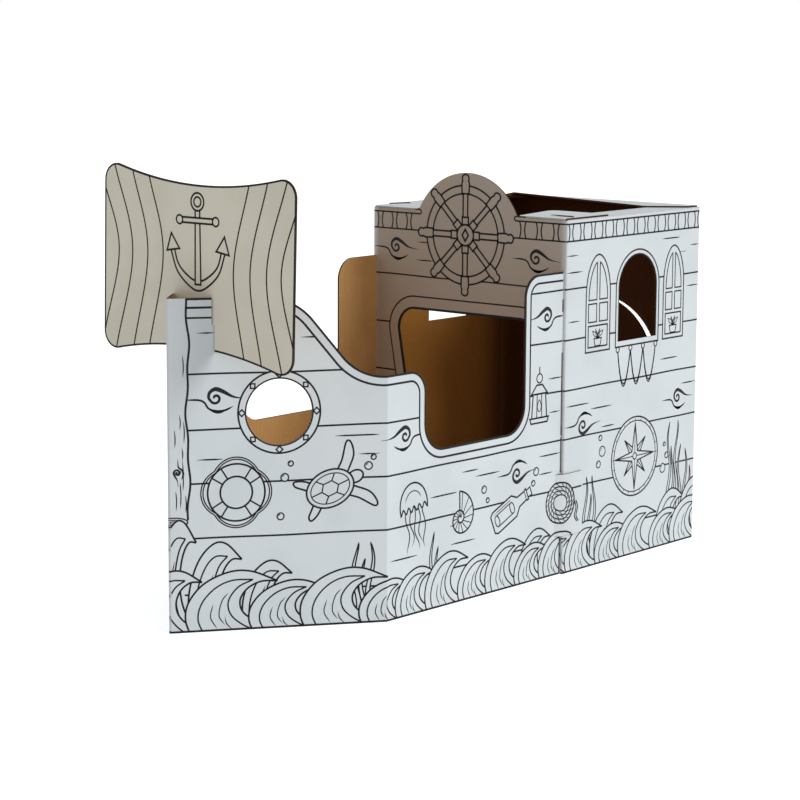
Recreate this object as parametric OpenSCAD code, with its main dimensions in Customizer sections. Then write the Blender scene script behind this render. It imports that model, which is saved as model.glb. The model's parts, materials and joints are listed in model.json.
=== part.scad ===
// Cardboard playhouse in the shape of a ship, folded from three printed sheets.
// X runs from the prow to the stern, Y to the far side, Z up. The origin lies on the floor
// under the middle of the whole ship.

/* [Board] */
// Thickness of the corrugated board
board_t = 4; // [3:0.5:5]
// Inner radius of every fold
crease_r = 1.5; // [1:0.5:3]
// Gap between two layers that lie on each other
lap_gap = 0.5; // [0.3:0.1:1]
// Free room on each side of a tab in its slot
slot_clear = 0.5; // [0.3:0.1:1]

/* [Cabin] */
// Length of the cabin, front wall to stern wall
cabin_len = 594; // [560:1:680]
// Width of the cabin over its side walls
cabin_w = 634; // [600:1:700]
// Height of the cabin's folded rim
cabin_h = 900; // [860:1:1000]
// Width of the glued lap inside the stern corner
glue_lap_w = 38; // [25:1:60]

/* [Upstand for the wheel] */
// Radius of the round upstand
upstand_r = 177; // [165:1:190]
// How far the upstand stands above the rim
upstand_rise = 98.6; // [80:0.2:115]

/* [Front doorway] */
// Width of the doorway at its top
doorway_w = 472; // [420:1:490]
// Height of the doorway's top
doorway_top = 636; // [600:1:680]
// Height of the doorway's sill
doorway_sill = 190; // [150:1:230]
// Slope of the doorway's sides, in degrees
doorway_slope = 10.5; // [4:0.5:13]
// Radius of the doorway's upper corners
doorway_r_top = 52; // [20:1:70]
// Radius of the doorway's lower corners
doorway_r_low = 70; // [30:1:90]

/* [Side windows] */
// Width of an arched window
window_w = 166; // [130:1:190]
// Distance from the front corner to the window's middle
window_x = 311; // [280:1:330]
// Height of the window sill
window_sill = 571; // [540:1:600]
// Height of the window from its sill to the start of its arch
window_spring = 136; // [90:1:150]

/* [Back door] */
// Width of the arched back door
door_w = 390; // [320:1:420]
// Height of the door's sill
door_sill = 48; // [35:1:80]
// Height at which the door's arch starts
door_spring = 442; // [400:1:500]
// Width of the cut round the door
door_cut = 1.5; // [1:0.5:3]
// How far the door hangs open into the cabin, in degrees
door_ajar = 3; // [1:0.5:12]

/* [Top rim] */
// Depth of a front ear of the rim
ear_depth = 190; // [150:1:200]
// Distance from the middle of the ship to the foot of an ear
ear_foot_y = 167; // [165:1:190]
// How far an ear widens towards the middle
ear_flare = 40; // [20:1:60]
// Depth of a side flange
side_flange_d = 95; // [85:1:120]
// Depth of the stern flange
stern_flange_d = 118; // [100:1:140]
// Length of the mitre at the ends of the stern flange
stern_mitre = 73; // [40:1:85]
// Radius of the flanges' free corners
flange_r = 22; // [8:1:30]
// Distance from the front wall to the locking tongue
tongue_x = 47; // [35:1:70]
// Width of a locking tongue
tongue_w = 68; // [50:1:70]
// How far a tongue stands above the rim
tongue_rise = 3; // [1:0.5:6]

/* [Bow] */
// Length of the bow, prow to front wall
bow_len = 1068; // [1000:1:1200]
// Height of the bow at the prow and at the cabin
bow_h = 768; // [740:1:800]
// Distance from the front wall to the side folds
bow_fold_x = 657; // [640:1:690]
// Width of the bow over its side folds
bow_fold_w = 600; // [570:1:610]
// How far the bow's rear edges lie inside the cabin's sides
bow_inset = 8; // [7:0.5:9]
// Height of the stepped edge at the side folds
waist_h = 579; // [550:1:600]
// Slope of the stepped edge on the bow panels, in degrees
sheer_slope = 51; // [45:1:60]
// Distance from the side fold to the foot of that slope
sheer_foot = 3; // [1:1:20]
// Radius of the upper bend of the slope
sheer_r_top = 148; // [100:1:160]
// Radius of the lower bend of the slope
sheer_r_low = 128; // [80:1:140]

/* [Side notches] */
// Distance from the side fold to the notch
notch_u = 132; // [120:1:160]
// Width of the notch
notch_w = 373; // [340:1:380]
// Height of the notch's bottom
notch_h = 385; // [340:1:420]
// Radius of the notch's lower corners
notch_r_low = 66; // [40:1:80]
// Radius of the notch's upper corners
notch_r_top = 54; // [30:1:60]

/* [Portholes] */
// Radius of a porthole
porthole_r = 76; // [60:1:85]
// Distance from the prow fold to a porthole's middle
porthole_u = 250; // [235:1:260]
// Height of a porthole's middle
porthole_z = 504; // [480:1:530]

/* [Bow hooks and flaps] */
// Height of the upper slot's foot
hook_high_z = 573; // [540:1:590]
// Height of the lower slot's foot
hook_low_z = 264; // [263:1:310]
// Height of a hook's neck
hook_neck_h = 90; // [70:1:95]
// How far a hook drops behind the wall
hook_drop = 24; // [15:1:28]
// Length of a hook inside the cabin
hook_len = 46; // [30:1:60]
// Radius of a hook's corners
hook_r = 14; // [6:1:16]
// Height of the outer flap's foot
flap_foot = 100; // [80:1:120]
// Height of the outer flap's top
flap_top = 258; // [220:1:260]
// Length of the outer flap on the side wall
flap_len = 77; // [50:1:100]
// Length over which the outer flap steps out round the corner
flap_step = 22; // [16:1:40]
// Radius of the outer flap's corners
flap_r = 10; // [4:1:20]

/* [Flag] */
// Width of the flag
flag_w = 602; // [540:1:612]
// Height of the flag at its middle
flag_mid_h = 369; // [320:1:400]
// How far the top and bottom edges curve in
flag_bow = 32; // [15:1:45]
// Radius of the flag's corners
flag_r = 40; // [20:1:60]
// Distance from the front wall to the flag
flag_x = 983; // [965:1:990]
// Height of the flag's middle
flag_z = 834; // [820:1:850]
// How far the flag's middle lies to the near side
flag_shift = 12; // [0:1:13]
// How far the flag leans to the near side, in degrees
flag_lean = 1.5; // [0:0.5:1.5]
// Height at which the slits of flag and bow meet
slit_z = 708; // [695:1:720]

/* [Hidden] */
$fn = 96;
// Largest turn of one step on a rounded corner, in degrees, and its largest length
arc_step = 6;
arc_chord = 14;
// Overlap that lets two cut shapes join or pass each other
eps = 1;
PRINT_COLOUR = [0.86, 0.89, 0.90];
FLAG_COLOUR = [0.69, 0.67, 0.61];

// Outer radius of a fold
fold_r = crease_r + board_t;
// Distance from a fold's centre to the middle of the board
fold_mid = crease_r + board_t / 2;
// Place of the front wall's outer face on the X axis
front_x = (bow_len - cabin_len) / 2;
// Half widths and the level of the lower layer of the rim
cabin_half = cabin_w / 2;
side_top = cabin_h - board_t - lap_gap;
upstand_z = cabin_h + upstand_rise - upstand_r;

// Bow in the cabin's frame: the front wall's outer face is X = 0 and the near side is -Y.
// Each point is the centre of a fold, seen from above.
prow_c = [-bow_len + fold_r, 0];
side_c = [-bow_fold_x, -bow_fold_w / 2 + fold_r];
rear_c = [-slot_clear, -cabin_half + bow_inset + fold_r];
bow_turn = turn_of(prow_c, side_c);
side_turn = turn_of(side_c, rear_c);
bow_panel_len = norm(side_c - prow_c);
side_panel_len = norm(rear_c - side_c);
// Corners of the slope on the bow panel, before they are rounded
sheer_low_u = bow_panel_len - sheer_foot - sheer_r_low * tan(sheer_slope / 2);
sheer_top_u = sheer_low_u - (bow_h - waist_h) / tan(sheer_slope);
// Middle of the notch seen from the side fold, along and across the bow panel
waist_reach = (notch_u + notch_w / 2) * [cos(side_turn - bow_turn), sin(side_turn - bow_turn)];
// Hooks stand this far outside the middle of the ship
hook_y = cabin_half - bow_inset - board_t / 2;
hook_slot_h = hook_neck_h + hook_drop;
// Hooks reach this far past the rear edge: through the front wall, then their own length
hook_reach = board_t + 3 * slot_clear + hook_len;
// The outer flap's root and the door's crease are this much thinner than the board on each face
root_step = 0.25;

// Crossing of the flag with a bow panel, along the panel and across the ship
flag_u = (-flag_x - prow_c[0] - fold_mid * sin(bow_turn)) / cos(bow_turn);
flag_slit_y = -(prow_c[1] + flag_u * sin(bow_turn) - fold_mid * cos(bow_turn));
// Board crosses board at the bow's angle, so a slit is wider than the board
slit_w = board_t / cos(bow_turn) + board_t * abs(tan(bow_turn)) + 2 * slot_clear;
// Circle of the flag's curved edges and centre of its round corners
flag_half = flag_w / 2;
flag_edge_r = (pow(flag_half - flag_r, 2) + flag_bow * flag_bow) / (2 * flag_bow);
flag_edge_z = flag_mid_h / 2 + flag_edge_r;
flag_corner_z = flag_edge_z - sqrt(pow(flag_edge_r + flag_r, 2) - pow(flag_half - flag_r, 2));
flag_edge_a = atan2(flag_edge_z - flag_corner_z, flag_half - flag_r);

// Direction from one point to the next, in degrees
function turn_of(a, b) = atan2(b[1] - a[1], b[0] - a[0]);

// Points of an arc from angle a0 to angle a1
function arc(c, r, a0, a1) =
    let (n = max(ceil(abs(a1 - a0) / arc_step), ceil(abs(a1 - a0) * PI / 180 * r / arc_chord)))
    [for (i = [0:n]) c + r * [cos(a0 + (a1 - a0) * i / n), sin(a0 + (a1 - a0) * i / n)]];

// All points of a list but the first
function rest_of(v) = [for (i = [1:len(v) - 1]) v[i]];

function reversed(v) = [for (i = [len(v) - 1:-1:0]) v[i]];

// Points on the far side of the ship
function far_side(v) = [for (p = v) [p[0], -p[1]]];

// Corner q between its neighbours p and s, rounded with radius r
function round_corner(p, q, s, r) =
    let (
        to_p = (p - q) / norm(p - q),
        to_s = (s - q) / norm(s - q),
        half = acos(to_p * to_s) / 2,
        mid = (to_p + to_s) / norm(to_p + to_s),
        c = q + mid * r / sin(half),
        a0 = turn_of(c, q + to_p * r / tan(half)),
        a1 = turn_of(c, q + to_s * r / tan(half)),
        sweep = a1 - a0 > 180 ? a1 - a0 - 360 : a1 - a0 < -180 ? a1 - a0 + 360 : a1 - a0
    )
    arc(c, r, a0, a0 + sweep);

// Outline whose points are [x, y, corner radius]
function rounded(pts) =
    let (n = len(pts), flat = [for (p = pts) [p[0], p[1]]])
    [for (i = [0:n - 1])
        each (pts[i][2] > 0
            ? round_corner(flat[(i + n - 1) % n], flat[i], flat[(i + 1) % n], pts[i][2])
            : [flat[i]])];

// Same shape on both sides of the ship
module both_sides() {
    children();
    mirror([0, 1, 0]) children();
}

// Frame of a panel between two fold centres: X along the panel, -Y outwards
module on_panel(a, b) {
    translate(a) rotate([0, 0, turn_of(a, b)]) children();
}

// Board of one panel from its outline in X and Z
module board() {
    translate([0, -crease_r, 0]) rotate([90, 0, 0]) linear_extrude(board_t) children();
}

// Upright fold at a fold centre, from one panel's direction to the next one's
module upright_fold(c, from_turn, to_turn, h) {
    translate(c)
        rotate([0, 0, from_turn - 90])
            rotate_extrude(angle = to_turn - from_turn)
                translate([crease_r, 0]) square([board_t, h]);
}

// Level fold along X that turns an upright wall into a flange towards +Y, top at z
module level_fold(x0, x1, z) {
    translate([x0, fold_r, z - fold_r])
        rotate([0, 90, 0])
            rotate([0, 0, 180])
                rotate_extrude(angle = 90)
                    translate([crease_r, 0]) square([board_t, x1 - x0]);
}

// Arch with a level foot at z0 and a half circle above zs
module arch(half_w, z0, zs) {
    translate([-half_w, z0]) square([2 * half_w, zs - z0]);
    translate([0, zs]) circle(half_w);
}

// Cabin, with its front wall's outer face at X = 0

module side_wall() {
    on_panel([0, -cabin_half + fold_r, 0], [cabin_len, -cabin_half + fold_r, 0])
        board()
            difference() {
                translate([fold_r, 0]) square([cabin_len - 2 * fold_r, side_top - fold_r]);
                translate([window_x, 0])
                    arch(window_w / 2, window_sill, window_sill + window_spring);
            }
}

module doorway_outline() {
    drop = doorway_top - doorway_sill;
    top_half = doorway_w / 2;
    low_half = top_half - drop * tan(doorway_slope);
    polygon(rounded([
        [-low_half, doorway_sill, doorway_r_low],
        [low_half, doorway_sill, doorway_r_low],
        [top_half, doorway_top, doorway_r_top],
        [-top_half, doorway_top, doorway_r_top]
    ]));
}

module hook_slot(z) {
    translate([hook_y - board_t / 2 - slot_clear, z - slot_clear])
        square([board_t + 2 * slot_clear, hook_slot_h + 2 * slot_clear]);
}

module front_wall() {
    on_panel([fold_r, 0, 0], [fold_r, -1, 0])
        board()
            difference() {
                union() {
                    translate([-cabin_half + fold_r, 0])
                        square([cabin_w - 2 * fold_r, cabin_h - fold_r]);
                    intersection() {
                        translate([0, upstand_z]) circle(upstand_r);
                        translate([-upstand_r, cabin_h - fold_r - eps])
                            square([2 * upstand_r, upstand_rise + fold_r + 2 * eps]);
                    }
                }
                doorway_outline();
                for (z = [hook_low_z, hook_high_z], m = [0, 1])
                    mirror([m, 0]) hook_slot(z);
            }
}

// Stern wall stops short at the far side, where its glued lap turns inside the far wall
module stern_wall() {
    far_y = cabin_half - board_t - fold_r;
    hinge_y = door_w / 2;
    crease_y0 = hinge_y - door_cut - eps;
    crease_z0 = door_sill + door_cut + eps;
    on_panel([cabin_len - fold_r, 0, 0], [cabin_len - fold_r, 1, 0]) {
        board()
            difference() {
                translate([-cabin_half + fold_r, 0])
                    square([cabin_half - fold_r + far_y, cabin_h - fold_r]);
                arch(door_w / 2, door_sill, door_spring);
            }
        translate([hinge_y, -fold_mid, 0])
            rotate([0, 0, -door_ajar])
                translate([-hinge_y, fold_mid, 0]) {
                    board()
                        arch(door_w / 2 - door_cut, door_sill + door_cut, door_spring);
                    translate([crease_y0, root_step - fold_r, crease_z0])
                        cube([door_cut + 2 * eps, board_t - 2 * root_step,
                            door_spring - eps - crease_z0]);
                }
    }
    glue_lap(far_y);
}

module glue_lap(far_y) {
    corner = [cabin_len - fold_r, far_y, 0];
    lap_h = cabin_h - 2 * fold_r - 2 * board_t;
    upright_fold(corner, 90, 180, lap_h);
    on_panel(corner, [0, far_y, 0])
        board()
            polygon(rounded([
                [0, 0, 0],
                [glue_lap_w, glue_lap_w, flange_r / 2],
                [glue_lap_w, lap_h - glue_lap_w, flange_r / 2],
                [0, lap_h, 0]
            ]));
}

module cabin_corners() {
    corner_h = cabin_h - fold_r;
    near_y = -cabin_half + fold_r;
    upright_fold([cabin_len - fold_r, near_y, 0], 0, 90, corner_h);
    both_sides() upright_fold([fold_r, near_y, 0], -90, 0, corner_h);
}

// Far wall ends in a bare edge that covers the glued lap
module far_wall_end() {
    translate([cabin_len - fold_r - eps, cabin_half - board_t, 0])
        cube([fold_r + eps, board_t, side_top - fold_r]);
}

// Lower layer of the rim: one flange with the tongue that locks in the ear
module side_flange() {
    inner_y = -cabin_half + side_flange_d;
    outer_y = -cabin_half + fold_r;
    tongue_y0 = inner_y - (inner_y - outer_y - tongue_w) / 2 - tongue_w;
    translate([0, -cabin_half, 0])
        level_fold(fold_r, cabin_len - fold_r, side_top);
    translate([0, 0, side_top - board_t])
        linear_extrude(board_t)
            polygon(rounded([
                [fold_r + lap_gap, outer_y, 0],
                [cabin_len - fold_r - lap_gap, outer_y, 0],
                [cabin_len - 2 * fold_r, inner_y, flange_r],
                [tongue_x - board_t / 2, inner_y, 0],
                [tongue_x - board_t / 2, outer_y + board_t, 0],
                [fold_r + lap_gap, outer_y + board_t, 0]
            ]));
    translate([tongue_x - board_t / 2, tongue_y0, side_top - board_t])
        cube([board_t, tongue_w, cabin_h + tongue_rise - side_top + board_t]);
}

// Upper layer of the rim at the front: one ear, slotted for the tongue
module front_ear() {
    inner_y = -cabin_half + side_flange_d;
    outer_y = -cabin_half + fold_r;
    slot_w = tongue_w + 2 * slot_clear;
    slot_y0 = inner_y - (inner_y - outer_y - tongue_w) / 2 - tongue_w - slot_clear;
    rotate([0, 0, -90])
        level_fold(ear_foot_y, -outer_y, cabin_h);
    translate([0, 0, cabin_h - board_t])
        linear_extrude(board_t)
            difference() {
                polygon(rounded([
                    [fold_r, -ear_foot_y, 0],
                    [fold_r, outer_y, 0],
                    [ear_depth, outer_y + lap_gap, flange_r / 2],
                    [ear_depth, -ear_foot_y + ear_flare, flange_r]
                ]));
                translate([tongue_x - board_t / 2 - slot_clear, slot_y0])
                    square([board_t + 2 * slot_clear, slot_w]);
            }
}

// Upper layer of the rim at the stern, mitred over the side flanges
module stern_flange() {
    half_y = cabin_half - board_t - fold_r;
    mitre_y = cabin_half - side_flange_d;
    inner_x = cabin_len - stern_flange_d;
    translate([cabin_len, 0, 0])
        rotate([0, 0, 90])
            level_fold(-half_y, half_y, cabin_h);
    translate([0, 0, cabin_h - board_t])
        linear_extrude(board_t)
            polygon(rounded([
                [cabin_len - fold_r, half_y, 0],
                [inner_x + stern_mitre, half_y, flange_r / 2],
                [inner_x, mitre_y, flange_r],
                [inner_x, -mitre_y, flange_r],
                [inner_x + stern_mitre, -half_y, flange_r / 2],
                [cabin_len - fold_r, -half_y, 0]
            ]));
}

// Bow, with the front wall's outer face at X = 0

// One side of the bow seen from above, from the prow past the hooks, at a distance
// from the fold centres
function bow_path(depth) = concat(
    arc(prow_c, depth, -180, bow_turn - 90),
    arc(side_c, depth, bow_turn - 90, side_turn - 90),
    [side_face(-hook_reach, depth)]
);

// Point beside the side panel's line of fold centres, ahead of its rear edge
function side_face(ahead, depth) =
    rear_c - ahead * [cos(side_turn), sin(side_turn)] + depth * [sin(side_turn), -cos(side_turn)];

// Whole bow before its edges are cut: one strip of board with three upright folds
module bow_strip() {
    outer = bow_path(fold_r);
    inner = bow_path(crease_r);
    linear_extrude(bow_h)
        polygon(concat(
            outer,
            reversed(inner),
            rest_of(far_side(inner)),
            reversed(rest_of(far_side(outer)))
        ));
}

// Cuts away what lies outside a panel's outline, between u_start and u_end along the panel.
// The cut reaches inwards to inner_y.
module trim_panel(a, b, u_start, u_end, inner_y = eps - crease_r) {
    on_panel(a, b)
        translate([0, inner_y, 0])
            rotate([90, 0, 0])
                linear_extrude(inner_y + fold_r + eps)
                    difference() {
                        translate([u_start, -eps]) square([u_end - u_start, bow_h + 2 * eps]);
                        children();
                    }
}

// Its level stepped edge runs on over the side fold, into the notch of the side panel
module bow_panel_outline() {
    difference() {
        polygon(rounded([
            [-eps, -2 * eps, 0],
            [bow_panel_len + waist_reach[0], -2 * eps, 0],
            [bow_panel_len + waist_reach[0], waist_h, 0],
            [sheer_low_u, waist_h, sheer_r_low],
            [sheer_top_u, bow_h, sheer_r_top],
            [-eps, bow_h + 2 * eps, 0]
        ]));
        translate([porthole_u, porthole_z]) circle(porthole_r);
        translate([flag_u - slit_w / 2, slit_z - slot_clear])
            square([slit_w, bow_h - slit_z + 2 * eps]);
    }
}

// Hook: neck through the front wall, nose that drops behind it
module hook_outline(z) {
    end_u = side_panel_len + hook_reach;
    nose_u = end_u - hook_len;
    polygon(rounded([
        [side_panel_len - eps, z, 0],
        [nose_u, z, 0],
        [nose_u, z - hook_drop, hook_r / 2],
        [end_u, z - hook_drop + hook_r, hook_r],
        [end_u, z + hook_neck_h - hook_r, hook_r],
        [side_panel_len - eps, z + hook_neck_h, 0]
    ]));
}

module side_panel_outline() {
    notch_end = notch_u + notch_w;
    difference() {
        polygon(rounded([
            [-fold_r, -2 * eps, 0],
            [side_panel_len, -2 * eps, 0],
            [side_panel_len, bow_h + 2 * eps, 0],
            [notch_end, bow_h, notch_r_top],
            [notch_end, notch_h, notch_r_low],
            [notch_u, notch_h, notch_r_low],
            [notch_u, waist_h, notch_r_top],
            [-fold_r, waist_h + 2 * eps, 0]
        ]));
        translate([side_panel_len - flap_step, flap_foot - slot_clear])
            square([flap_step + eps, flap_top - flap_foot + 2 * slot_clear]);
    }
    for (z = [hook_low_z, hook_high_z])
        hook_outline(z);
}

// Flap that steps out of the side panel and lies on the cabin's side wall
module outer_flap() {
    root = flap_step + 2 * eps;
    lap_y = -cabin_half - lap_gap;
    intersection() {
        linear_extrude(flap_top)
            polygon([
                side_face(root, crease_r + root_step),
                side_face(flap_step, crease_r + root_step),
                [-slot_clear, lap_y],
                [flap_len, lap_y],
                [flap_len, lap_y - board_t],
                [-slot_clear - board_t / 2, lap_y - board_t],
                side_face(flap_step, fold_r - root_step),
                side_face(root, fold_r - root_step)
            ]);
        rotate([90, 0, 0])
            linear_extrude(cabin_w)
                polygon(rounded([
                    [-2 * root, flap_foot, 0],
                    [flap_len, flap_foot, flap_r],
                    [flap_len, flap_top, flap_r],
                    [-2 * root, flap_top, 0]
                ]));
    }
}

// Flag outline, with its middle at the origin and the near side to the right
module flag_outline() {
    corner = [flag_half - flag_r, flag_corner_z];
    top = concat(
        arc(corner, flag_r, 0, 180 - flag_edge_a),
        rest_of(arc([0, flag_edge_z], flag_edge_r, -flag_edge_a, flag_edge_a - 180)),
        rest_of(arc([-corner[0], corner[1]], flag_r, flag_edge_a, 180))
    );
    polygon(concat(top, [for (p = top) -p]));
}

module cabin_wrap() {
    color(PRINT_COLOUR)
        translate([front_x, 0, 0]) {
            both_sides() {
                side_wall();
                side_flange();
                front_ear();
            }
            front_wall();
            stern_wall();
            far_wall_end();
            cabin_corners();
            stern_flange();
        }
}

module bow_wrap() {
    color(PRINT_COLOUR)
        translate([front_x, 0, 0]) {
            difference() {
                bow_strip();
                both_sides() {
                    trim_panel(prow_c, side_c, 0, bow_panel_len + waist_reach[0], waist_reach[1])
                        bow_panel_outline();
                    trim_panel(side_c, rear_c, -fold_r, side_panel_len + hook_reach + eps)
                        side_panel_outline();
                }
            }
            both_sides() outer_flap();
        }
}

module flag() {
    color(FLAG_COLOUR)
        translate([front_x - flag_x, 0, flag_z])
            rotate([90, 0, -90])
                linear_extrude(board_t, center = true)
                    difference() {
                        translate([flag_shift, 0]) rotate([0, 0, -flag_lean]) flag_outline();
                        for (side = [-1, 1])
                            translate([side * flag_slit_y - slit_w / 2, -flag_mid_h])
                                square([slit_w, flag_mid_h + slit_z + slot_clear - flag_z]);
                    }
}

cabin_wrap();
bow_wrap();
flag();
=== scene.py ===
"""Dresses the folded cardboard playhouse ship: board, line print, floor, light and camera.

Lengths are in millimetres in the flat pattern of each sheet and in metres in the scene.
A flat pattern has s along the folded path of the sheet and z up.
"""

from __future__ import annotations

import json
import logging
import math
from dataclasses import dataclass, field
from enum import Enum
from typing import Callable, ClassVar, Sequence

import bmesh
import bpy
import numpy as np
from mathutils import Matrix, Vector
from mathutils.bvhtree import BVHTree

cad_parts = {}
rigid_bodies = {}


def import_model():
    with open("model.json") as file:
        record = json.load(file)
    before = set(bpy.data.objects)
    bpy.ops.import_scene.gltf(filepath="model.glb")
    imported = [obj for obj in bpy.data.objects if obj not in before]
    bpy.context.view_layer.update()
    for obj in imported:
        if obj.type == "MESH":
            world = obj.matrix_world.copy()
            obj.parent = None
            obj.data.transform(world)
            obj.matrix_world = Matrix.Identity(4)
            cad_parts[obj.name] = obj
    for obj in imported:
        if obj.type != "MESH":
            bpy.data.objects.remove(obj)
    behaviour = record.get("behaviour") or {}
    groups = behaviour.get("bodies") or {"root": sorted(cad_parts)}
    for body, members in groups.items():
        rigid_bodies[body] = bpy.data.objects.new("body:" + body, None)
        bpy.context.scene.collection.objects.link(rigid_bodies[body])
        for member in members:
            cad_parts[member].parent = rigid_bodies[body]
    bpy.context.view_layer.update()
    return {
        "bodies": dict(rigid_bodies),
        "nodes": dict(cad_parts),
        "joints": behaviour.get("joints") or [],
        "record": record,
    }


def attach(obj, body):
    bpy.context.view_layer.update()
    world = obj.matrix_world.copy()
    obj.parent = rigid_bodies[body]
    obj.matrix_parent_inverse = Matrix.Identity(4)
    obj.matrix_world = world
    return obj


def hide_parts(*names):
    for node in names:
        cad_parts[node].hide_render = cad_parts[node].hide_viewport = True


Array = np.ndarray
Pair = tuple[float, float]
Triple = tuple[float, float, float]
Colour = tuple[float, float, float, float]
Points = Sequence[Sequence[float]]

LOG = logging.getLogger("playhouse")
MM = 0.001
FLUTE_PITCH = 7.2
PLANKS_Z = (723, 596, 469, 345, 219, 88)
# Height of the line along the foot: partly a printed outline, partly painted contact shadow at the
# floor.
FOOT_Z = 3.0
WHITE = (1, 1, 1, 1)


class Face(Enum):
    """What a face of the board shows; the value is its material slot."""

    PRINT = 0
    KRAFT = 1
    CUT = 2


class Side(Enum):
    """Side of the ship; the value is the sign of Y in the near side's flat pattern."""

    NEAR = 1
    FAR = -1


@dataclass(frozen=True)
class Wire:
    """An output socket of a node tree, with Python's operators as Math nodes."""

    graph: "Graph"
    socket: bpy.types.NodeSocket

    def _math(self, operation: str, *values: "Wire | float") -> "Wire":
        """Adds one Math node over the given values."""
        return self.graph.make("Math", {"operation": operation}, dict(enumerate(values)))

    def __add__(self, other: "Wire | float") -> "Wire":
        """Sum."""
        return self._math("ADD", self, other)

    def __radd__(self, other: float) -> "Wire":
        """Sum with a number on the left."""
        return self._math("ADD", other, self)

    def __sub__(self, other: "Wire | float") -> "Wire":
        """Difference."""
        return self._math("SUBTRACT", self, other)

    def __rsub__(self, other: float) -> "Wire":
        """Difference from a number on the left."""
        return self._math("SUBTRACT", other, self)

    def __mul__(self, other: "Wire | float") -> "Wire":
        """Product."""
        return self._math("MULTIPLY", self, other)

    def __rmul__(self, other: float) -> "Wire":
        """Product with a number on the left."""
        return self._math("MULTIPLY", other, self)

    def __abs__(self) -> "Wire":
        """Size without its sign."""
        return self._math("ABSOLUTE", self)

    def sine(self) -> "Wire":
        """Sine of the value in radians."""
        return self._math("SINE", self)

    def ramp(self, low: float, high: float) -> "Wire":
        """Smooth step from 0 at low to 1 at high.

        Args:
            low: value at which it starts.
            high: value at which it ends.

        Returns:
            The step as a Wire.
        """
        return self.graph.make(
            "MapRange",
            {"interpolation_type": "SMOOTHSTEP"},
            {"Value": self, "From Min": low, "From Max": high},
        )


@dataclass
class Graph:
    """Node tree of one material or of the world."""

    owner: bpy.types.Material | bpy.types.World

    def __post_init__(self) -> None:
        """Empties the tree."""
        self.owner.use_nodes = True
        self.owner.node_tree.nodes.clear()

    def make(
        self,
        kind: str,
        settings: dict[str, object] | None = None,
        inputs: dict[str | int, object] | None = None,
        output: str | int = 0,
    ) -> Wire:
        """Adds a node.

        Args:
            kind: node type without its ShaderNode prefix.
            settings: properties, set before the sockets.
            inputs: socket name or index to a number, colour or Wire.
            output: the output socket that is returned.

        Returns:
            The chosen output as a Wire.
        """
        node = self.owner.node_tree.nodes.new("ShaderNode" + kind)
        for key, value in (settings or {}).items():
            setattr(node, key, value)
        for key, value in (inputs or {}).items():
            socket = node.inputs[key]
            if isinstance(value, Wire):
                self.owner.node_tree.links.new(value.socket, socket)
            else:
                socket.default_value = value
        return Wire(self, node.outputs[output] if len(node.outputs) else None)

    def place(self, source: str = "Object") -> Wire:
        """Texture coordinate of the piece itself."""
        return self.make("TexCoord", output=source)

    def part(self, vector: Wire, axis: str) -> Wire:
        """One part, X, Y or Z, of a vector."""
        return self.make("SeparateXYZ", inputs={"Vector": vector}, output=axis)

    def flutes(self) -> Wire:
        """Wave of the board's flutes, -1 to 1: sin(2 pi u / pitch) along the UV map's u."""
        return (self.part(self.place("UV"), "X") * (2 * math.pi / (FLUTE_PITCH * MM))).sine()

    def noise(
        self, where: Wire, scale: float, detail: float = 2.0, stretch: Triple = (1, 1, 1)
    ) -> Wire:
        """Noise from about 0.3 to 0.7.

        Args:
            where: coordinates that it reads.
            scale: its size, as spots to a metre.
            detail: octaves of finer noise.
            stretch: factors on the coordinates; under 1 draws the spots out.

        Returns:
            The noise as a Wire.
        """
        mapped = self.make("Mapping", inputs={"Vector": where, "Scale": tuple(stretch)})
        inputs = {"Vector": mapped, "Scale": scale, "Detail": detail}
        return self.make("TexNoise", inputs=inputs, output="Fac")

    def blend(self, low: object, high: object, amount: Wire | float) -> Wire:
        """Colour that goes from low to high as amount goes from 0 to 1."""
        inputs = {"Factor": amount, 6: low, 7: high}
        return self.make("Mix", {"data_type": "RGBA"}, inputs, output=2)

    def bump(self, height: Wire, depth_mm: float) -> Wire:
        """Normal bent by a height field whose unit is depth_mm high."""
        inputs = {"Height": height, "Distance": depth_mm * MM, "Strength": 1.0}
        return self.make("Bump", inputs=inputs)

    def finish(
        self, colour: Wire, rough: Wire, normal: Wire, specular: float
    ) -> bpy.types.Material:
        """Closes the tree with a Principled shader.

        Args:
            colour: base colour.
            rough: roughness.
            normal: normal bent by a bump.
            specular: specular level.

        Returns:
            The finished material.
        """
        inputs = {"Base Color": colour, "Roughness": rough, "Normal": normal}
        shader = self.make("BsdfPrincipled", inputs={**inputs, "Specular IOR Level": specular})
        self.make("OutputMaterial", inputs={"Surface": shader})
        return self.owner


def shade_of(red: int, green: int, blue: int) -> Colour:
    """Linear colour of an 8-bit screen colour.

    With c from 0 to 1 a part is ((c + 0.055) / 1.055) ** 2.4, or c / 12.92 in the darkest.

    Args:
        red: screen value, 0 to 255.
        green: screen value, 0 to 255.
        blue: screen value, 0 to 255.

    Returns:
        The colour with full alpha.
    """
    shares = (c / 255 for c in (red, green, blue))
    parts = [c / 12.92 if c <= 0.04 else ((c + 0.055) / 1.055) ** 2.4 for c in shares]
    return (*parts, 1.0)


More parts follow.
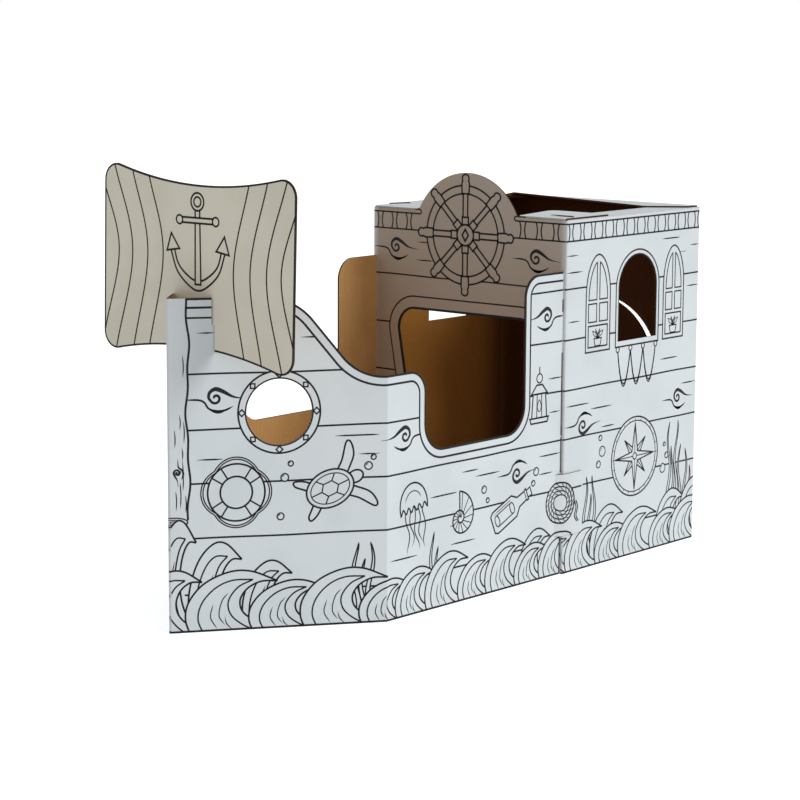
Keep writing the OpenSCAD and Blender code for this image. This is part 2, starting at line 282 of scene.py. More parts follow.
@dataclass(frozen=True)
class LinerFinish:
    """White paper liner with its fibres, faint flutes and handling marks.

    The ranges say where the front wall's painted shade, with brown bounce light, runs out, in
    metres.
    """

    name: str
    colour: Colour
    mottle: Colour
    # front is the colour of the painted shade on the front wall, browned as bounce light from the
    # hull.
    front: Colour | None = None
    front_x: Pair = (0.2372, 0.2402)
    fold_highlight_y: Pair = (0.2955, 0.3135)
    shade_wall_y: Pair = (-0.32, 0.32)
    shade_wall_z: Pair = (0.25, 0.98)

    def painted_front_shade(self, g: Graph, base: Wire, fibre: Wire) -> Wire:
        """Paints shade and bounce light over the base on the front wall, with a painted highlight
        over the corner folds.

        Args:
            g: the material's tree.
            base: colour of the other walls.
            fibre: noise of the paper's fibres.

        Returns:
            The colour, palest high up on the near side of the front wall.
        """
        x, y, z = (g.part(g.place(), axis) for axis in "XYZ")
        # Painted shade: darker taupe on the front wall, browner low down and on the far side as
        # painted bounce light; it fades over the corner folds as a painted highlight.
        wall = (1.0 - x.ramp(*self.front_x)) * (1.0 - abs(y).ramp(*self.fold_highlight_y) * 0.72)
        pale = g.blend(self.front, self.colour, 0.30)
        drop = z.ramp(*self.shade_wall_z) * 0.55 + y.ramp(*self.shade_wall_y) * -0.45 + 0.45
        front = g.blend(self.front, pale, drop)
        return g.blend(base, g.blend(front, self.colour, fibre * 0.10), wall)

    def material(self) -> bpy.types.Material:
        """Builds the material: two papers' tones, fibres, flutes that show through and painted
        shade.

        Returns:
            The finished material.
        """
        g = Graph(bpy.data.materials.new(self.name))
        where, flutes = g.place(), g.flutes()
        cloud = g.noise(where, 6.0, 3.0).ramp(0.35, 0.68)
        fibre = g.noise(where, 900.0, 3.0, (1, 1, 0.45))
        # The flutes' wave in the colour is a faint painted shade of the ridges under the liner.
        base = g.blend(self.colour, self.mottle, cloud * 0.55 + fibre * 0.25 + flutes * 0.05)
        if self.front is not None:
            base = self.painted_front_shade(g, base, fibre)
        dents = g.noise(where, 22.0, 4.0).ramp(0.55, 0.8)
        height = flutes * 0.35 + fibre * 0.6 + dents * 1.4
        rough = 0.62 + fibre * 0.18 - dents * 0.05
        return g.finish(base, rough, g.bump(height, 0.035), specular=0.28)


@dataclass(frozen=True)
class KraftFinish:
    """Bare brown kraft liner of the inside.

    Shade is painted inside the cabin's room where an indoor colour is given; the ranges bound it,
    in metres: behind the front wall, below the rim and, darkest, towards the stern.
    """

    name: str
    colour: Colour
    dark: Colour
    shaded_indoors: Colour | None = None
    recess_shade: Colour | None = None
    shade_room_x: Pair = (0.2385, 0.2405)
    rim_x: Pair = (0.243, 0.25)
    rim_z: Pair = (0.8975, 0.9)
    shade_stern_x: Pair = (0.66, 0.82)

    def material(self) -> bpy.types.Material:
        """Builds the material: long fibres, darker flecks, the washboard of the flutes and painted
        shade indoors.

        Returns:
            The finished material.
        """
        g = Graph(bpy.data.materials.new(self.name))
        where, flutes = g.place(), g.flutes()
        cloud = g.noise(where, 4.0, 3.0).ramp(0.32, 0.7)
        fibre = g.noise(where, 420.0, 4.0, (1, 1, 0.25))
        fleck = g.noise(where, 1500.0, 1.0).ramp(0.66, 0.74)
        tone = cloud * 0.35 + fibre * 0.5 + flutes * 0.09 + fleck * 0.35
        base = g.blend(self.colour, self.dark, tone)
        # Painted shade: inside the cabin the kraft turns amber behind the front wall and darker
        # towards the stern, but not on the rim.
        if self.shaded_indoors is not None:
            x, z = g.part(where, "X"), g.part(where, "Z")
            brim = z.ramp(*self.rim_z) * (1.0 - x.ramp(*self.rim_x))
            deep = g.blend(self.shaded_indoors, self.recess_shade, x.ramp(*self.shade_stern_x))
            deep = g.blend(deep, self.recess_shade, fibre * 0.35)
            base = g.blend(base, deep, x.ramp(*self.shade_room_x) * (1.0 - brim))
        height = flutes + fibre * 0.7
        return g.finish(base, 0.74 + fibre * 0.16, g.bump(height, 0.05), specular=0.22)


@dataclass(frozen=True)
class CutFinish:
    """Cut edge: two liners and the wavy flute between them, with dark air in the flutes."""

    name: str
    paper: Colour
    air: Colour

    def material(self) -> bpy.types.Material:
        """Builds the material.

        The paper shows where the depth d from the printed face, 0 to 1, lies in a liner or
        within 0.1 of the wave 0.5 + 0.38 sin(2 pi u / pitch).

        Returns:
            The finished material.
        """
        g = Graph(bpy.data.materials.new(self.name))
        depth = g.make("Attribute", {"attribute_name": "depth"}, output="Fac")
        wave = g.flutes() * 0.38 + 0.5
        flute = 1.0 - abs(depth - wave).ramp(0.07, 0.13)
        liner = abs(depth - 0.5).ramp(0.40, 0.43)
        solid = flute + liner - flute * liner
        fibre = g.noise(g.place(), 1100.0, 3.0)
        base = g.blend(self.air, g.blend(self.paper, self.air, fibre * 0.35), solid)
        normal = g.bump(solid + fibre * 0.3, 0.25)
        return g.finish(base, 0.82 + fibre * 0.1, normal, specular=0.2)


@dataclass(frozen=True)
class InkFinish:
    """Matte black printing ink, a little thinner in places."""

    name: str
    colour: Colour
    thin: Colour

    def material(self) -> bpy.types.Material:
        """Builds the material: ink that lets the paper's fibres show.

        Returns:
            The finished material.
        """
        g = Graph(bpy.data.materials.new(self.name))
        fibre = g.noise(g.place(), 1400.0, 3.0)
        patch = g.noise(g.place(), 60.0, 2.0)
        base = g.blend(self.colour, self.thin, fibre * 0.3 + patch * 0.25)
        return g.finish(base, 0.52 + fibre * 0.2, g.bump(fibre, 0.02), specular=0.3)


@dataclass(frozen=True)
class FloorFinish:
    """Pale studio floor that keeps the ship's shadow and shows white to the camera."""

    name: str
    greys: Pair = (0.80, 0.83)
    glow: float = 0.62

    def material(self) -> bpy.types.Material:
        """Builds the material: diffuse white with a little white added for the eye alone.

        Returns:
            The finished material.
        """
        g = Graph(bpy.data.materials.new(self.name))
        dull, bright = ((grey, grey, grey, 1) for grey in self.greys)
        colour = g.blend(dull, bright, g.noise(g.place(), 3.0, 2.0))
        plain = g.make("BsdfPrincipled", inputs={"Base Color": colour, "Roughness": 0.9})
        eye = g.make("LightPath", output="Is Camera Ray")
        gloss = g.make("LightPath", output="Is Glossy Ray")
        glow = {"Color": WHITE, "Strength": (eye + gloss) * self.glow}
        both = g.make("AddShader", inputs={0: plain, 1: g.make("Emission", inputs=glow)})
        g.make("OutputMaterial", inputs={"Surface": both})
        return g.owner


@dataclass(frozen=True)
class Run:
    """One stretch of a folded path: straight where turn is 0, else a round fold."""

    length: float
    turn: float = 0.0


@dataclass(frozen=True)
class FoldedPath:
    """Printed face of a sheet seen from above, walked with the outside on the right.

    Each rim fold is given as its start and end along s and the height at which it starts.
    """

    start: Pair
    heading: float
    runs: tuple[Run, ...]
    side: Side = Side.NEAR
    rims: tuple[Triple, ...] = ()
    rim_radius: float = 5.5
    marks: int = 7

    def stations(self) -> Array:
        """Lengths at which each run starts."""
        return np.concatenate([[0.0], np.cumsum([run.length for run in self.runs])[:-1]])

    def at(self, s: Array) -> tuple[Array, Array]:
        """Walks the path.

        On a run with heading h and curvature k = turn / length the heading is h + k t and
        the place is the integral of its direction: (sin(h + k t) - sin h) / k and
        (cos h - cos(h + k t)) / k. A straight run has a k of 1e-9.

        Args:
            s: lengths along the path.

        Returns:
            Points and outward normals in the plan, each an (n, 2) array.
        """
        starts = self.stations()
        turns = np.radians([run.turn for run in self.runs])
        lengths = np.array([run.length for run in self.runs])
        heads = math.radians(self.heading) + np.concatenate([[0.0], np.cumsum(turns)[:-1]])
        bends = np.where(turns == 0, 1e-9, turns / lengths)

        def step(head: Array, bend: Array, t: Array) -> Array:
            """Move over a length t of one run.

            Args:
                head: heading at its start.
                bend: its curvature.
                t: the length.

            Returns:
                The moves, one row for each.
            """
            after = head + bend * t
            across, along = np.sin(after) - np.sin(head), np.cos(head) - np.cos(after)
            return np.stack([across / bend, along / bend], -1)

        walked = np.cumsum(step(heads, bends, lengths), axis=0)
        corners = np.array(self.start) + np.concatenate([[[0.0, 0.0]], walked[:-1]])
        i = np.clip(np.searchsorted(starts, s, side="right") - 1, 0, len(starts) - 1)
        t = s - starts[i]
        point = corners[i] + step(heads[i], bends[i], t)
        angle = heads[i] + bends[i] * t
        return point, np.stack([np.sin(angle), -np.cos(angle)], -1)

    def place(self, flat: Array, height: float) -> Array:
        """Puts flat-pattern points on the folded sheet.

        Above the start z0 of a rim fold of radius r the board turns inwards by
        (z - z0) / r: it moves in by r (1 - cos) and up by r sin.

        Args:
            flat: (n, 2) array of s and z in millimetres.
            height: distance above the printed face in millimetres.

        Returns:
            (n, 3) array of points in metres.
        """
        s, z = flat.T
        plan, out = self.at(s)
        z0 = np.full(len(flat), 1e6)
        for low, high, level in self.rims:
            z0 = np.where((s >= low) & (s <= high), level, z0)
        bend = np.clip((z - z0) / self.rim_radius, 0.0, math.pi / 2)
        inwards = self.rim_radius * (1 - np.cos(bend)) - height * np.cos(bend)
        level = np.where(bend > 0, z0 + self.rim_radius * np.sin(bend), z)
        plan = plan - out * inwards[:, None]
        plan[:, 1] *= self.side.value
        return np.column_stack([plan, level + height * np.sin(bend)]) * MM

    def fold_marks(self) -> Array:
        """Lengths at which a line has to bend, a few across each fold.

        Returns:
            Lengths along the path.
        """
        shares = np.linspace(0, 1, self.marks)
        pairs = zip(self.stations(), self.runs)
        marks = [start + run.length * shares for start, run in pairs if run.turn]
        return np.concatenate(marks) if marks else np.zeros(0)


def along(points: Array) -> Array:
    """Length walked along a polyline up to each of its points."""
    return np.concatenate([[0.0], np.cumsum(np.linalg.norm(np.diff(points, axis=0), axis=1))])


def even(points: Points, step: float = 1.0, closed: bool = False) -> Array:
    """Points spaced evenly along a polyline.

    Args:
        points: (n, 2) corners.
        step: largest distance between new points.
        closed: joins the last corner to the first.

    Returns:
        New points; a closed line repeats its first point at the end.
    """
    points = np.asarray(points, float)
    if closed:
        points = np.vstack([points, points[:1]])
    lengths = along(points)
    count = max(int(math.ceil(lengths[-1] / step)), 1)
    marks = np.unique(np.concatenate([np.linspace(0, lengths[-1], count + 1), lengths]))
    marks = marks[np.concatenate([[True], np.diff(marks) > 1e-3])]
    return np.column_stack([np.interp(marks, lengths, points[:, k]) for k in (0, 1)])


def spline(points: Points, closed: bool = False, per_span: int = 24) -> Array:
    """Smooth curve through points, a Catmull-Rom cubic on each span.

    On a span from b to c with neighbours a and d the curve is
    b + t (c - a) / 2 + t^2 (a - 5b/2 + 2c - d/2) + t^3 ((d - a) / 2 + 3 (b - c) / 2).

    Args:
        points: the points that it passes.
        closed: leads it back to the first point.
        per_span: new points on each span.

    Returns:
        (n, 2) array of points.
    """
    p = np.asarray(points, float)
    ends = (p[-1:], p[:2]) if closed else (2 * p[:1] - p[1:2], 2 * p[-1:] - p[-2:-1])
    p = np.vstack([ends[0], p, ends[1]])
    a, b, c, d = (p[i : len(p) - 3 + i, None] for i in range(4))
    t = np.linspace(0, 1, per_span, endpoint=False)[None, :, None]
    square, cube = a - 2.5 * b + 2 * c - d / 2, (d - a) / 2 + 1.5 * (b - c)
    curve = (b + t * (c - a) / 2 + t**2 * square + t**3 * cube).reshape(-1, 2)
    return curve if closed else np.vstack([curve, p[-2]])


def way(angle: Array | float) -> Array:
    """Direction at an angle in radians, or one row for each: (cos a, sin a)."""
    return np.stack([np.cos(angle), np.sin(angle)], axis=-1)


def ring(
    centre: Pair, radius: float, start: float = 0.0, end: float = 360.0, squash: float = 1.0
) -> Array:
    """Arc of an ellipse: centre + r (cos a, squash sin a).

    Args:
        centre: its middle.
        radius: half its width.
        start: first angle in degrees.
        end: last angle in degrees.
        squash: its height as a share of its width.

    Returns:
        Points at most about 1.5 mm apart.
    """
    count = max(int(abs(end - start) * math.pi / 180 * radius / 1.5), 12)
    a = np.radians(np.linspace(start, end, count))
    return np.asarray(centre) + np.column_stack([radius * np.cos(a), squash * radius * np.sin(a)])


def moved(
    points: Points, place: Pair, size: float = 1.0, turn: float = 0.0, flip: bool = False
) -> Array:
    """Scales points, then flips, turns and moves them.

    Args:
        points: (n, 2) points round the origin.
        place: where the origin goes.
        size: factor.
        turn: angle in degrees.
        flip: swaps left and right.

    Returns:
        The new points.
    """
    p = np.asarray(points, float) * size
    if flip:
        p = p * [-1, 1]
    c, s = math.cos(math.radians(turn)), math.sin(math.radians(turn))
    return p @ np.array([[c, s], [-s, c]]) + np.asarray(place, float)


def inside(outline: Array, points: Array) -> Array:
    """Finds the points inside a closed outline by the edges crossed to their right.

    Args:
        outline: (n, 2) corners.
        points: (m, 2) points.

    Returns:
        True for each point inside.
    """
    found = np.zeros(len(points), bool)
    low, high = outline.min(0), outline.max(0)
    near = np.nonzero(((points >= low) & (points <= high)).all(1))[0]
    if not len(near):
        return found
    a, b = outline, np.roll(outline, -1, axis=0)
    x, y = points[near, 0][:, None], points[near, 1][:, None]
    spans = (a[:, 1] > y) != (b[:, 1] > y)
    rise = np.where(b[:, 1] == a[:, 1], 1e-12, b[:, 1] - a[:, 1])
    crossing = a[:, 0] + (y - a[:, 1]) / rise * (b[:, 0] - a[:, 0])
    found[near] = (spans & (x < crossing)).sum(1) % 2 == 1
    return found


def offset(points: Array, distance: float) -> Array:
    """Moves an open line to the right of its direction.

    Args:
        points: (n, 2) points.
        distance: how far, to the left where it is negative.

    Returns:
        The new points.
    """
    ahead = np.gradient(points, axis=0)
    ahead /= np.linalg.norm(ahead, axis=1)[:, None]
    return points + distance * np.column_stack([ahead[:, 1], -ahead[:, 0]])


def rounded(corners: Points) -> Array:
    """Open line through corners with round bends.

    A bend's centre lies on the bisector at radius / sin(half the corner's angle).

    Args:
        corners: (s, z, radius) of each corner; the ends have no bend.

    Returns:
        (n, 2) array of points.
    """
    c = np.asarray(corners, float)
    pieces = [c[:1, :2]]
    for before, at, after in zip(c[:-2], c[1:-1], c[2:]):
        p, q = before[:2] - at[:2], after[:2] - at[:2]
        p, q = p / np.linalg.norm(p), q / np.linalg.norm(q)
        half = math.acos(float(np.clip(p @ q, -1, 1))) / 2
        middle = (p + q) / np.linalg.norm(p + q)
        centre = at[:2] + middle * at[2] / math.sin(half)
        first, last = (at[:2] + v * at[2] / math.tan(half) - centre for v in (p, q))
        a0, a1 = math.atan2(first[1], first[0]), math.atan2(last[1], last[0])
        sweep = (a1 - a0 + math.pi) % (2 * math.pi) - math.pi
        a = a0 + sweep * np.linspace(0, 1, max(int(abs(sweep) * at[2] / 2), 8))
        pieces.append(centre + at[2] * way(a))
    return np.vstack([*pieces, c[-1:, :2]])


def waver(t: Array, level: float) -> Array:
    """Level of a seam drawn by hand: level + 0.6 sin(t / 47 + level)."""
    return level + 0.6 * np.sin(t / 47 + level)


@dataclass
class Stroke:
    """One inked line: points a millimetre apart and the width at each."""

    points: Array
    width: Array
    closed: bool = False


@dataclass
class Drawing:
    """Line print of one panel in its flat pattern, painted from back to front."""

    pen: float = 3.6
    strokes: list[Stroke] = field(default_factory=list)

    def line(
        self,
        points: Points,
        width: float = 1.0,
        closed: bool = False,
        taper: Pair = (0.0, 0.0),
        swell: float = 0.0,
    ) -> None:
        """Draws a line.

        Args:
            points: its corners, or the points of a curve.
            width: share of the pen's width.
            closed: joins the end to the start.
            taper: lengths in millimetres over which the start and the end run thin.
            swell: how much wider the middle is, as 1 + swell sin^2(pi t) over the length.
        """
        dense = even(points, 1.0, closed)
        walked = along(dense)
        share = 1.0 + swell * np.sin(math.pi * walked / walked[-1]) ** 2
        for length, gone in zip(taper, (walked, walked[-1] - walked)):
            if length:
                share *= np.clip(gone / length, 0.12, 1) ** 0.8
        self.strokes.append(Stroke(dense, self.pen * width * share, closed))

    def lines(self, *curves: Points, width: float = 1.0) -> None:
        """Draws several open lines of one width."""
        for curve in curves:
            self.line(curve, width)

    def cut(self, keep: Callable[[Array], Array]) -> None:
        """Keeps only parts of the lines so far.

        Args:
            keep: says for an (n, 2) array of points which of them stay.
        """
        left: list[Stroke] = []
        for stroke in self.strokes:
            good = keep(stroke.points)
            if good.all():
                left.append(stroke)
                continue
            if not good.any():
                continue
            points, width = stroke.points, stroke.width
            if stroke.closed:
                first = int(np.argmin(good))
                points, width, good = (
                    np.concatenate([a[first:-1], a[: first + 1]]) for a in (points, width, good)
                )
            edges = np.diff(np.concatenate([[0], good.astype(int), [0]]))
            for a, b in zip(np.nonzero(edges == 1)[0], np.nonzero(edges == -1)[0]):
                if b - a > 2:
                    left.append(Stroke(points[a:b], width[a:b]))
        self.strokes = left

    def cover(self, outline: Array) -> None:
        """Hides the lines so far behind a closed outline."""
        self.cut(lambda points: ~inside(outline, points))

    def shape(self, outline: Points, width: float = 1.0) -> None:
        """Draws a closed outline that hides what lies behind it.

        Args:
            outline: its corners.
            width: share of the pen's width.
        """
        outline = np.asarray(outline, float)
        self.cover(outline)
        self.line(outline, width, closed=True)

    def add(self, other: "Drawing", shift: float) -> None:
        """Lays another drawing's lines on this one, moved along s."""
        self.strokes += [Stroke(t.points + [shift, 0], t.width, t.closed) for t in other.strokes]

    def at(
        self, place: Pair, size: float = 1.0, turn: float = 0.0, flip: bool = False
    ) -> "Stamp":
        """Stamp that draws a motif here, scaled, turned in degrees and flipped."""
        return Stamp(self, place, size, turn, flip)


@dataclass(frozen=True)
class Stamp:
    """Places one motif, drawn round the origin, on a drawing."""

    art: Drawing
    place: Pair
    size: float
    turn: float
    flip: bool

    def put(self, points: Points) -> Array:
        """The motif's points on the drawing."""
        return moved(points, self.place, self.size, self.turn, self.flip)

    def line(self, points: Points, width: float = 1.0, **how: object) -> None:
        """Draws a line of the motif."""
        self.art.line(self.put(points), width, **how)

    def shape(self, points: Points, width: float = 1.0) -> None:
        """Draws a closed outline of the motif, which hides what lies behind it."""
        self.art.shape(self.put(points), width)


@dataclass(frozen=True)
class Printer:
    """Turns a drawing into closed ribbons of ink on a folded path, where there is board.

    Lengths are in millimetres, but touch, how near the board has to be, is in metres.
    """

    path: FoldedPath
    board: BVHTree
    proud: float = 0.16
    sunk: float = 0.25
    sag: float = 0.06
    spacing: Pair = (1.0, 22.0)
    kink: float = 0.35
    touch: float = 0.0005

    def on_board(self, flat: Array) -> Array:
        """True for the points that lie within 0.5 mm of the board's surface."""
        found = (self.board.find_nearest(Vector(p), self.touch) for p in self.path.place(flat, 0.0))
        return np.array([hit[0] is not None for hit in found])

    def thin(self, stroke: Stroke) -> Stroke:
        """Drops points where a line is nearly straight.

        The spacing kept is sqrt(8 sag R) for a local radius R, from 1 to 22 mm, and every
        point stays where the line turns by more than kink radians to a millimetre.

        Args:
            stroke: a line with its points a millimetre apart.

        Returns:
            The line with fewer points.
        """
        p = stroke.points
        if len(p) < 5:
            return stroke
        ahead = np.diff(p, axis=0)
        length = np.maximum(np.linalg.norm(ahead, axis=1), 1e-6)
        angle = np.unwrap(np.arctan2(ahead[:, 1], ahead[:, 0]))
        bend = np.abs(np.diff(angle)) / ((length[1:] + length[:-1]) / 2)
        bend = np.concatenate([bend[:1], bend, bend[-1:]])
        spread = np.maximum(bend, np.maximum(np.roll(bend, 1), np.roll(bend, -1)))
        spacing = np.clip(np.sqrt(8 * self.sag / np.maximum(spread, 1e-6)), *self.spacing)
        count = np.cumsum(np.concatenate([[0.0], length / spacing[1:]]))
        keep = np.concatenate([[True], np.diff(np.floor(count + 1e-9)) > 0])
        keep[-1] = True
        keep |= bend > self.kink
        return Stroke(p[keep], stroke.width[keep], stroke.closed)

    def crossed(self, stroke: Stroke) -> Stroke:
        """Adds a point wherever a line meets a mark on a fold.

        Args:
            stroke: a thinned line.

        Returns:
            The line that can bend at each mark.
        """
        marks = self.path.fold_marks()
        if not len(marks):
            return stroke
        p, w = stroke.points, stroke.width
        a, b = p[:-1, :1] - marks, p[1:, :1] - marks
        i, j = np.nonzero(a * b < -1e-6)
        share = a[i, j] / (a[i, j] - b[i, j])
        order = np.argsort(np.concatenate([np.arange(len(p)), i + share]))
        points = np.vstack([p, p[i] + share[:, None] * (p[i + 1] - p[i])])
        width = np.concatenate([w, w[i] + share * (w[i + 1] - w[i])])
        return Stroke(points[order], width[order], stroke.closed)

    def edges(self, stroke: Stroke) -> tuple[Array, Array]:
        """Both edges of a line.

        They lie half a width to each side, along the mitre of the two directions at each
        point, which is 1 / cos of half their angle long.

        Args:
            stroke: the line; a closed one repeats its first point.

        Returns:
            Left and right edge, each an (n, 2) array.
        """
        p, w = stroke.points, stroke.width
        if stroke.closed:
            p, w = p[:-1], w[:-1]
            before, after = np.roll(p, 1, axis=0), np.roll(p, -1, axis=0)
        else:
            before = np.vstack([2 * p[0] - p[1], p[:-1]])
            after = np.vstack([p[1:], 2 * p[-1] - p[-2]])
        t0, t1 = p - before, after - p
        t0 /= np.maximum(np.linalg.norm(t0, axis=1), 1e-9)[:, None]
        t1 /= np.maximum(np.linalg.norm(t1, axis=1), 1e-9)[:, None]
        mitre = np.column_stack([-(t0 + t1)[:, 1], (t0 + t1)[:, 0]])
        mitre /= np.maximum(np.linalg.norm(mitre, axis=1), 1e-9)[:, None]
        reach = (mitre * np.column_stack([-t1[:, 1], t1[:, 0]])).sum(1)
        edge = mitre * (w / 2 / np.clip(reach, 0.45, 1))[:, None]
        return p + edge, p - edge

    def ribbon(self, stroke: Stroke) -> tuple[Array, Array]:
        """Builds one ribbon with a square section.

        Args:
            stroke: the line.

        Returns:
            Vertices (n, 3) in metres and quads (m, 4) that point outwards.
        """
        left, right = self.edges(self.crossed(self.thin(stroke)))
        up, down = self.proud, -self.sunk
        section = ((left, up), (right, up), (right, down), (left, down))
        rings = np.stack([self.path.place(flat, height) for flat, height in section], axis=1)
        n = len(left)
        i = np.arange(n if stroke.closed else n - 1)[:, None] * 4
        j = (i + 4) % (4 * n)
        k, after = np.arange(4), (np.arange(4) + 1) % 4
        quads = np.stack([i + k, i + after, j + after, j + k], axis=-1).reshape(-1, 4)
        if not stroke.closed:
            quads = np.vstack([quads, k[::-1], (n - 1) * 4 + k])
        if self.path.side is Side.FAR:
            quads = quads[:, ::-1]
        return rings.reshape(-1, 3), quads

    def print(
        self, name: str, drawing: Drawing, ink: bpy.types.Material
    ) -> bpy.types.Object:
        """Makes one piece of all lines of a drawing, cut where the board ends.

        Args:
            name: the piece's name.
            drawing: the lines.
            ink: their material.

        Returns:
            The piece, which rides on the ship.
        """
        drawing.cut(self.on_board)
        built = [self.ribbon(stroke) for stroke in drawing.strokes if len(stroke.points) > 2]
        starts = np.concatenate([[0], np.cumsum([len(v) for v, _ in built])[:-1]])
        vertices = np.vstack([v for v, _ in built])
        quads = np.vstack([q + start for (_, q), start in zip(built, starts)])
        mesh = bpy.data.meshes.new(name)
        mesh.from_pydata(vertices, [], quads.tolist())
        mesh.update()
        mesh.materials.append(ink)
        piece = bpy.data.objects.new(name, mesh)
        bpy.context.scene.collection.objects.link(piece)
        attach(piece, "root")
        return piece


def knot(stamp: Stamp) -> None:
    """Wood knot: a curl with a long tail, and two grain lines that dip under it.

    The curl turns 0.95 times clockwise from 200 degrees while its radius grows evenly from
    3 to 12.5 mm.

    Args:
        stamp: where it is drawn, how large and at what angle.
    """
    t = np.linspace(0, 1, 57)
    curl = way(math.radians(200) - 2 * math.pi * 0.95 * t)
    eye = (3.0 + (12.5 - 3.0) * t)[:, None] * curl
    tail = spline([eye[-1], (-16, 2), (-13, 14), (0, 21), (17, 15), (42, 2), (76, -3)])
    dip = spline([(-76, -2), (-40, -3), (-26, -9), (-16, -23), (4, -31), (24, -27), (40, -19)])
    stamp.line(eye, 1.4, taper=(4, 0))
    stamp.line(tail, 1.4, taper=(0, 76), swell=0.75)
    stamp.line(dip, 1.05, taper=(26, 12))
    stamp.line(dip[58:-8], 1.2, taper=(26, 26), swell=0.55)


def grain(art: Drawing, *dashes: Triple, start: float = 0.0) -> None:
    """Short grain lines, each given by its ends, counted from start, and its height."""
    for low, high, z in dashes:
        art.line([(start + low, z), (start + high, z)], 0.85, taper=(10, 16))


def planks(art: Drawing, start: float, end: float) -> None:
    """Level seams between planks, which waver as if drawn by hand."""
    s = np.linspace(start, end, 60)
    art.lines(*(np.column_stack([s, waver(s, z)]) for z in PLANKS_Z))


def balusters(art: Drawing, start: float, end: float, pitch: float, rails: Pair) -> None:
    """Row of turned balusters, each a pair of waisted lines.

    Half the width is 6 + 4.5 (2 v - 1)^2 at the share v of the height.

    Args:
        art: the drawing.
        start: middle of the first one.
        end: none stands from here on.
        pitch: distance between two.
        rails: heights of the rails that they join.
    """
    v = np.linspace(0, 1, 18)
    half = 6.0 + 4.5 * (2 * v - 1) ** 2
    z = rails[0] + (rails[1] - rails[0]) * v
    for s in np.arange(start, end, pitch):
        art.lines(np.column_stack([s - half, z]), np.column_stack([s + half, z]))


def wave(art: Drawing, s: float, width: float, height: float) -> None:
    """Breaking wave: a back that rises to a hooked crest, an inner band and water lines.

    Args:
        art: the drawing.
        s: where its foot starts.
        width: its width.
        height: height of its crest.
    """
    crest, tip = (0.9, 0.8), (0.64, 0.84)
    rise = [(0.0, -0.1), (-0.07, 0.2), (-0.04, 0.5), (0.12, 0.8), (0.38, 0.98), (0.62, 0.98)]
    hook = [(0.72, 0.8), (0.57, 0.68), (0.5, 0.48), (0.55, 0.27), (0.74, 0.1), (1.08, -0.02)]
    back, under = spline([*rise, crest]), spline([crest, *hook])
    inner = spline([(0.14, -0.1), (0.06, 0.2), (0.1, 0.48), (0.24, 0.72), (0.42, 0.84), tip])
    lip = spline([tip, (0.48, 0.72), (0.38, 0.5), (0.4, 0.28), (0.52, 0.1), (0.72, -0.06)])
    water = (
        [(0.26, 0.04), (0.19, 0.24), (0.22, 0.46)],
        [(0.34, 0.1), (0.28, 0.26), (0.31, 0.5), (0.38, 0.64)],
        [(0.42, 0.02), (0.36, 0.12), (0.34, 0.24)],
    )
    scale = np.array([width, height])
    art.cover(np.vstack([back, under, [[1.08, -0.1]]]) * scale + [s, 0])
    for curve, share in ((back, 1.0), (under, 1.0), (inner, 0.85), (lip, 0.85)):
        art.line(curve * scale + [s, 0], share)
    for curve in water:
        art.line(spline(curve) * scale + [s, 0], 0.6, taper=(12, 12))


def sea(art: Drawing, *crests: Triple) -> None:
    """Row of waves (s, width, height), each in front of the one before."""
    for crest in crests:
        wave(art, *crest)


def box(low: Pair, high: Pair) -> list[Pair]:
    """Corners of an upright rectangle."""
    return [low, (high[0], low[1]), high, (low[0], high[1])]


def lancet(art: Drawing, s: float, low: float, high: float, half: float) -> None:
    """Narrow printed window with a pointed arch, a mullion, panes and a potted plant.

    An arch is x = h (1 - t^2)^p over the share t of its height.

    Args:
        art: the drawing.
        s: its middle.
        low: its foot.
        high: its tip.
        half: half its width.
    """
    mullion, frame, pane_foot, top_gap = 6, 11, 132, 20

    def arch(width: float, foot: float, spring: float, top: float, power: float, n: int) -> Array:
        """Right half of an arch on an upright side.

        Args:
            width: half its width.
            foot: where its side starts.
            spring: height at which it starts to close.
            top: its tip.
            power: how blunt it is.
            n: number of points over the side.

        Returns:
            (n + 1, 2) array of points.
        """
        t = np.sin(np.linspace(0, math.pi / 2, n))
        curve = np.column_stack([width * (1 - t**2) ** power, spring + (top - spring) * t])
        return np.vstack([[(width, foot)], curve])

    right = arch(half, low, low + (high - low) * 0.58, high, 0.53, 24)
    art.shape(np.vstack([right, (right * [-1, 1])[::-1][1:]]) + [s, 0])
    foot = low + pane_foot
    pane = arch(half - mullion - 12, foot, foot, high - top_gap, 0.66, 22) + [mullion, 0]
    pane[0] = (mullion, foot)
    for sign in (-1, 1):
        art.line(pane * [sign, 1] + [s, 0], 0.85, closed=True)
        a, b = s + sign * mullion, s + sign * (half - frame)
        art.line(box((a, low + 76), (b, low + 122)), 0.85, closed=True)
    art.line(box((s - half + frame, low + 12), (s + half - frame, low + 66)), 0.95, closed=True)
    art.at((s, low)).line([(-11, 14), (-16, 33), (16, 33), (11, 14)], 0.8, closed=True)
    for lean in (-22, -9, 9, 22):
        tip = (lean, 26 - abs(lean) * 0.3)
        rise, fall = [(0, 0), (lean * 0.2, 13), tip], [tip, (lean * 0.75, 9), (0, 0)]
        art.at((s, low + 33)).line(np.vstack([spline(rise), spline(fall)]), 0.6)


def compass(art: Drawing, centre: Pair, radius: float) -> None:
    """Eight-pointed compass star in a double ring, each point split by its ridge.

    Args:
        art: the drawing.
        centre: its middle.
        radius: radius of the outer ring.
    """
    art.shape(ring(centre, radius))
    art.line(ring(centre, radius * 0.9), 0.7, closed=True)
    for reach, first in ((0.62, 45), (0.84, 0)):
        sizes = np.where(np.arange(8) % 2 == 0, reach, 0.17) * radius
        star = way(np.radians(np.arange(8) * 45 + first)) * sizes[:, None] + centre
        art.shape(star, 0.9)
        for tip in star[::2]:
            art.line([centre, tip], 0.6)
    for out in way(np.radians(np.arange(0, 360, 15))) * radius:
        art.line([centre + out * 0.9, centre + out * 0.96], 0.5)
    art.shape(ring(centre, radius * 0.08), 0.8)


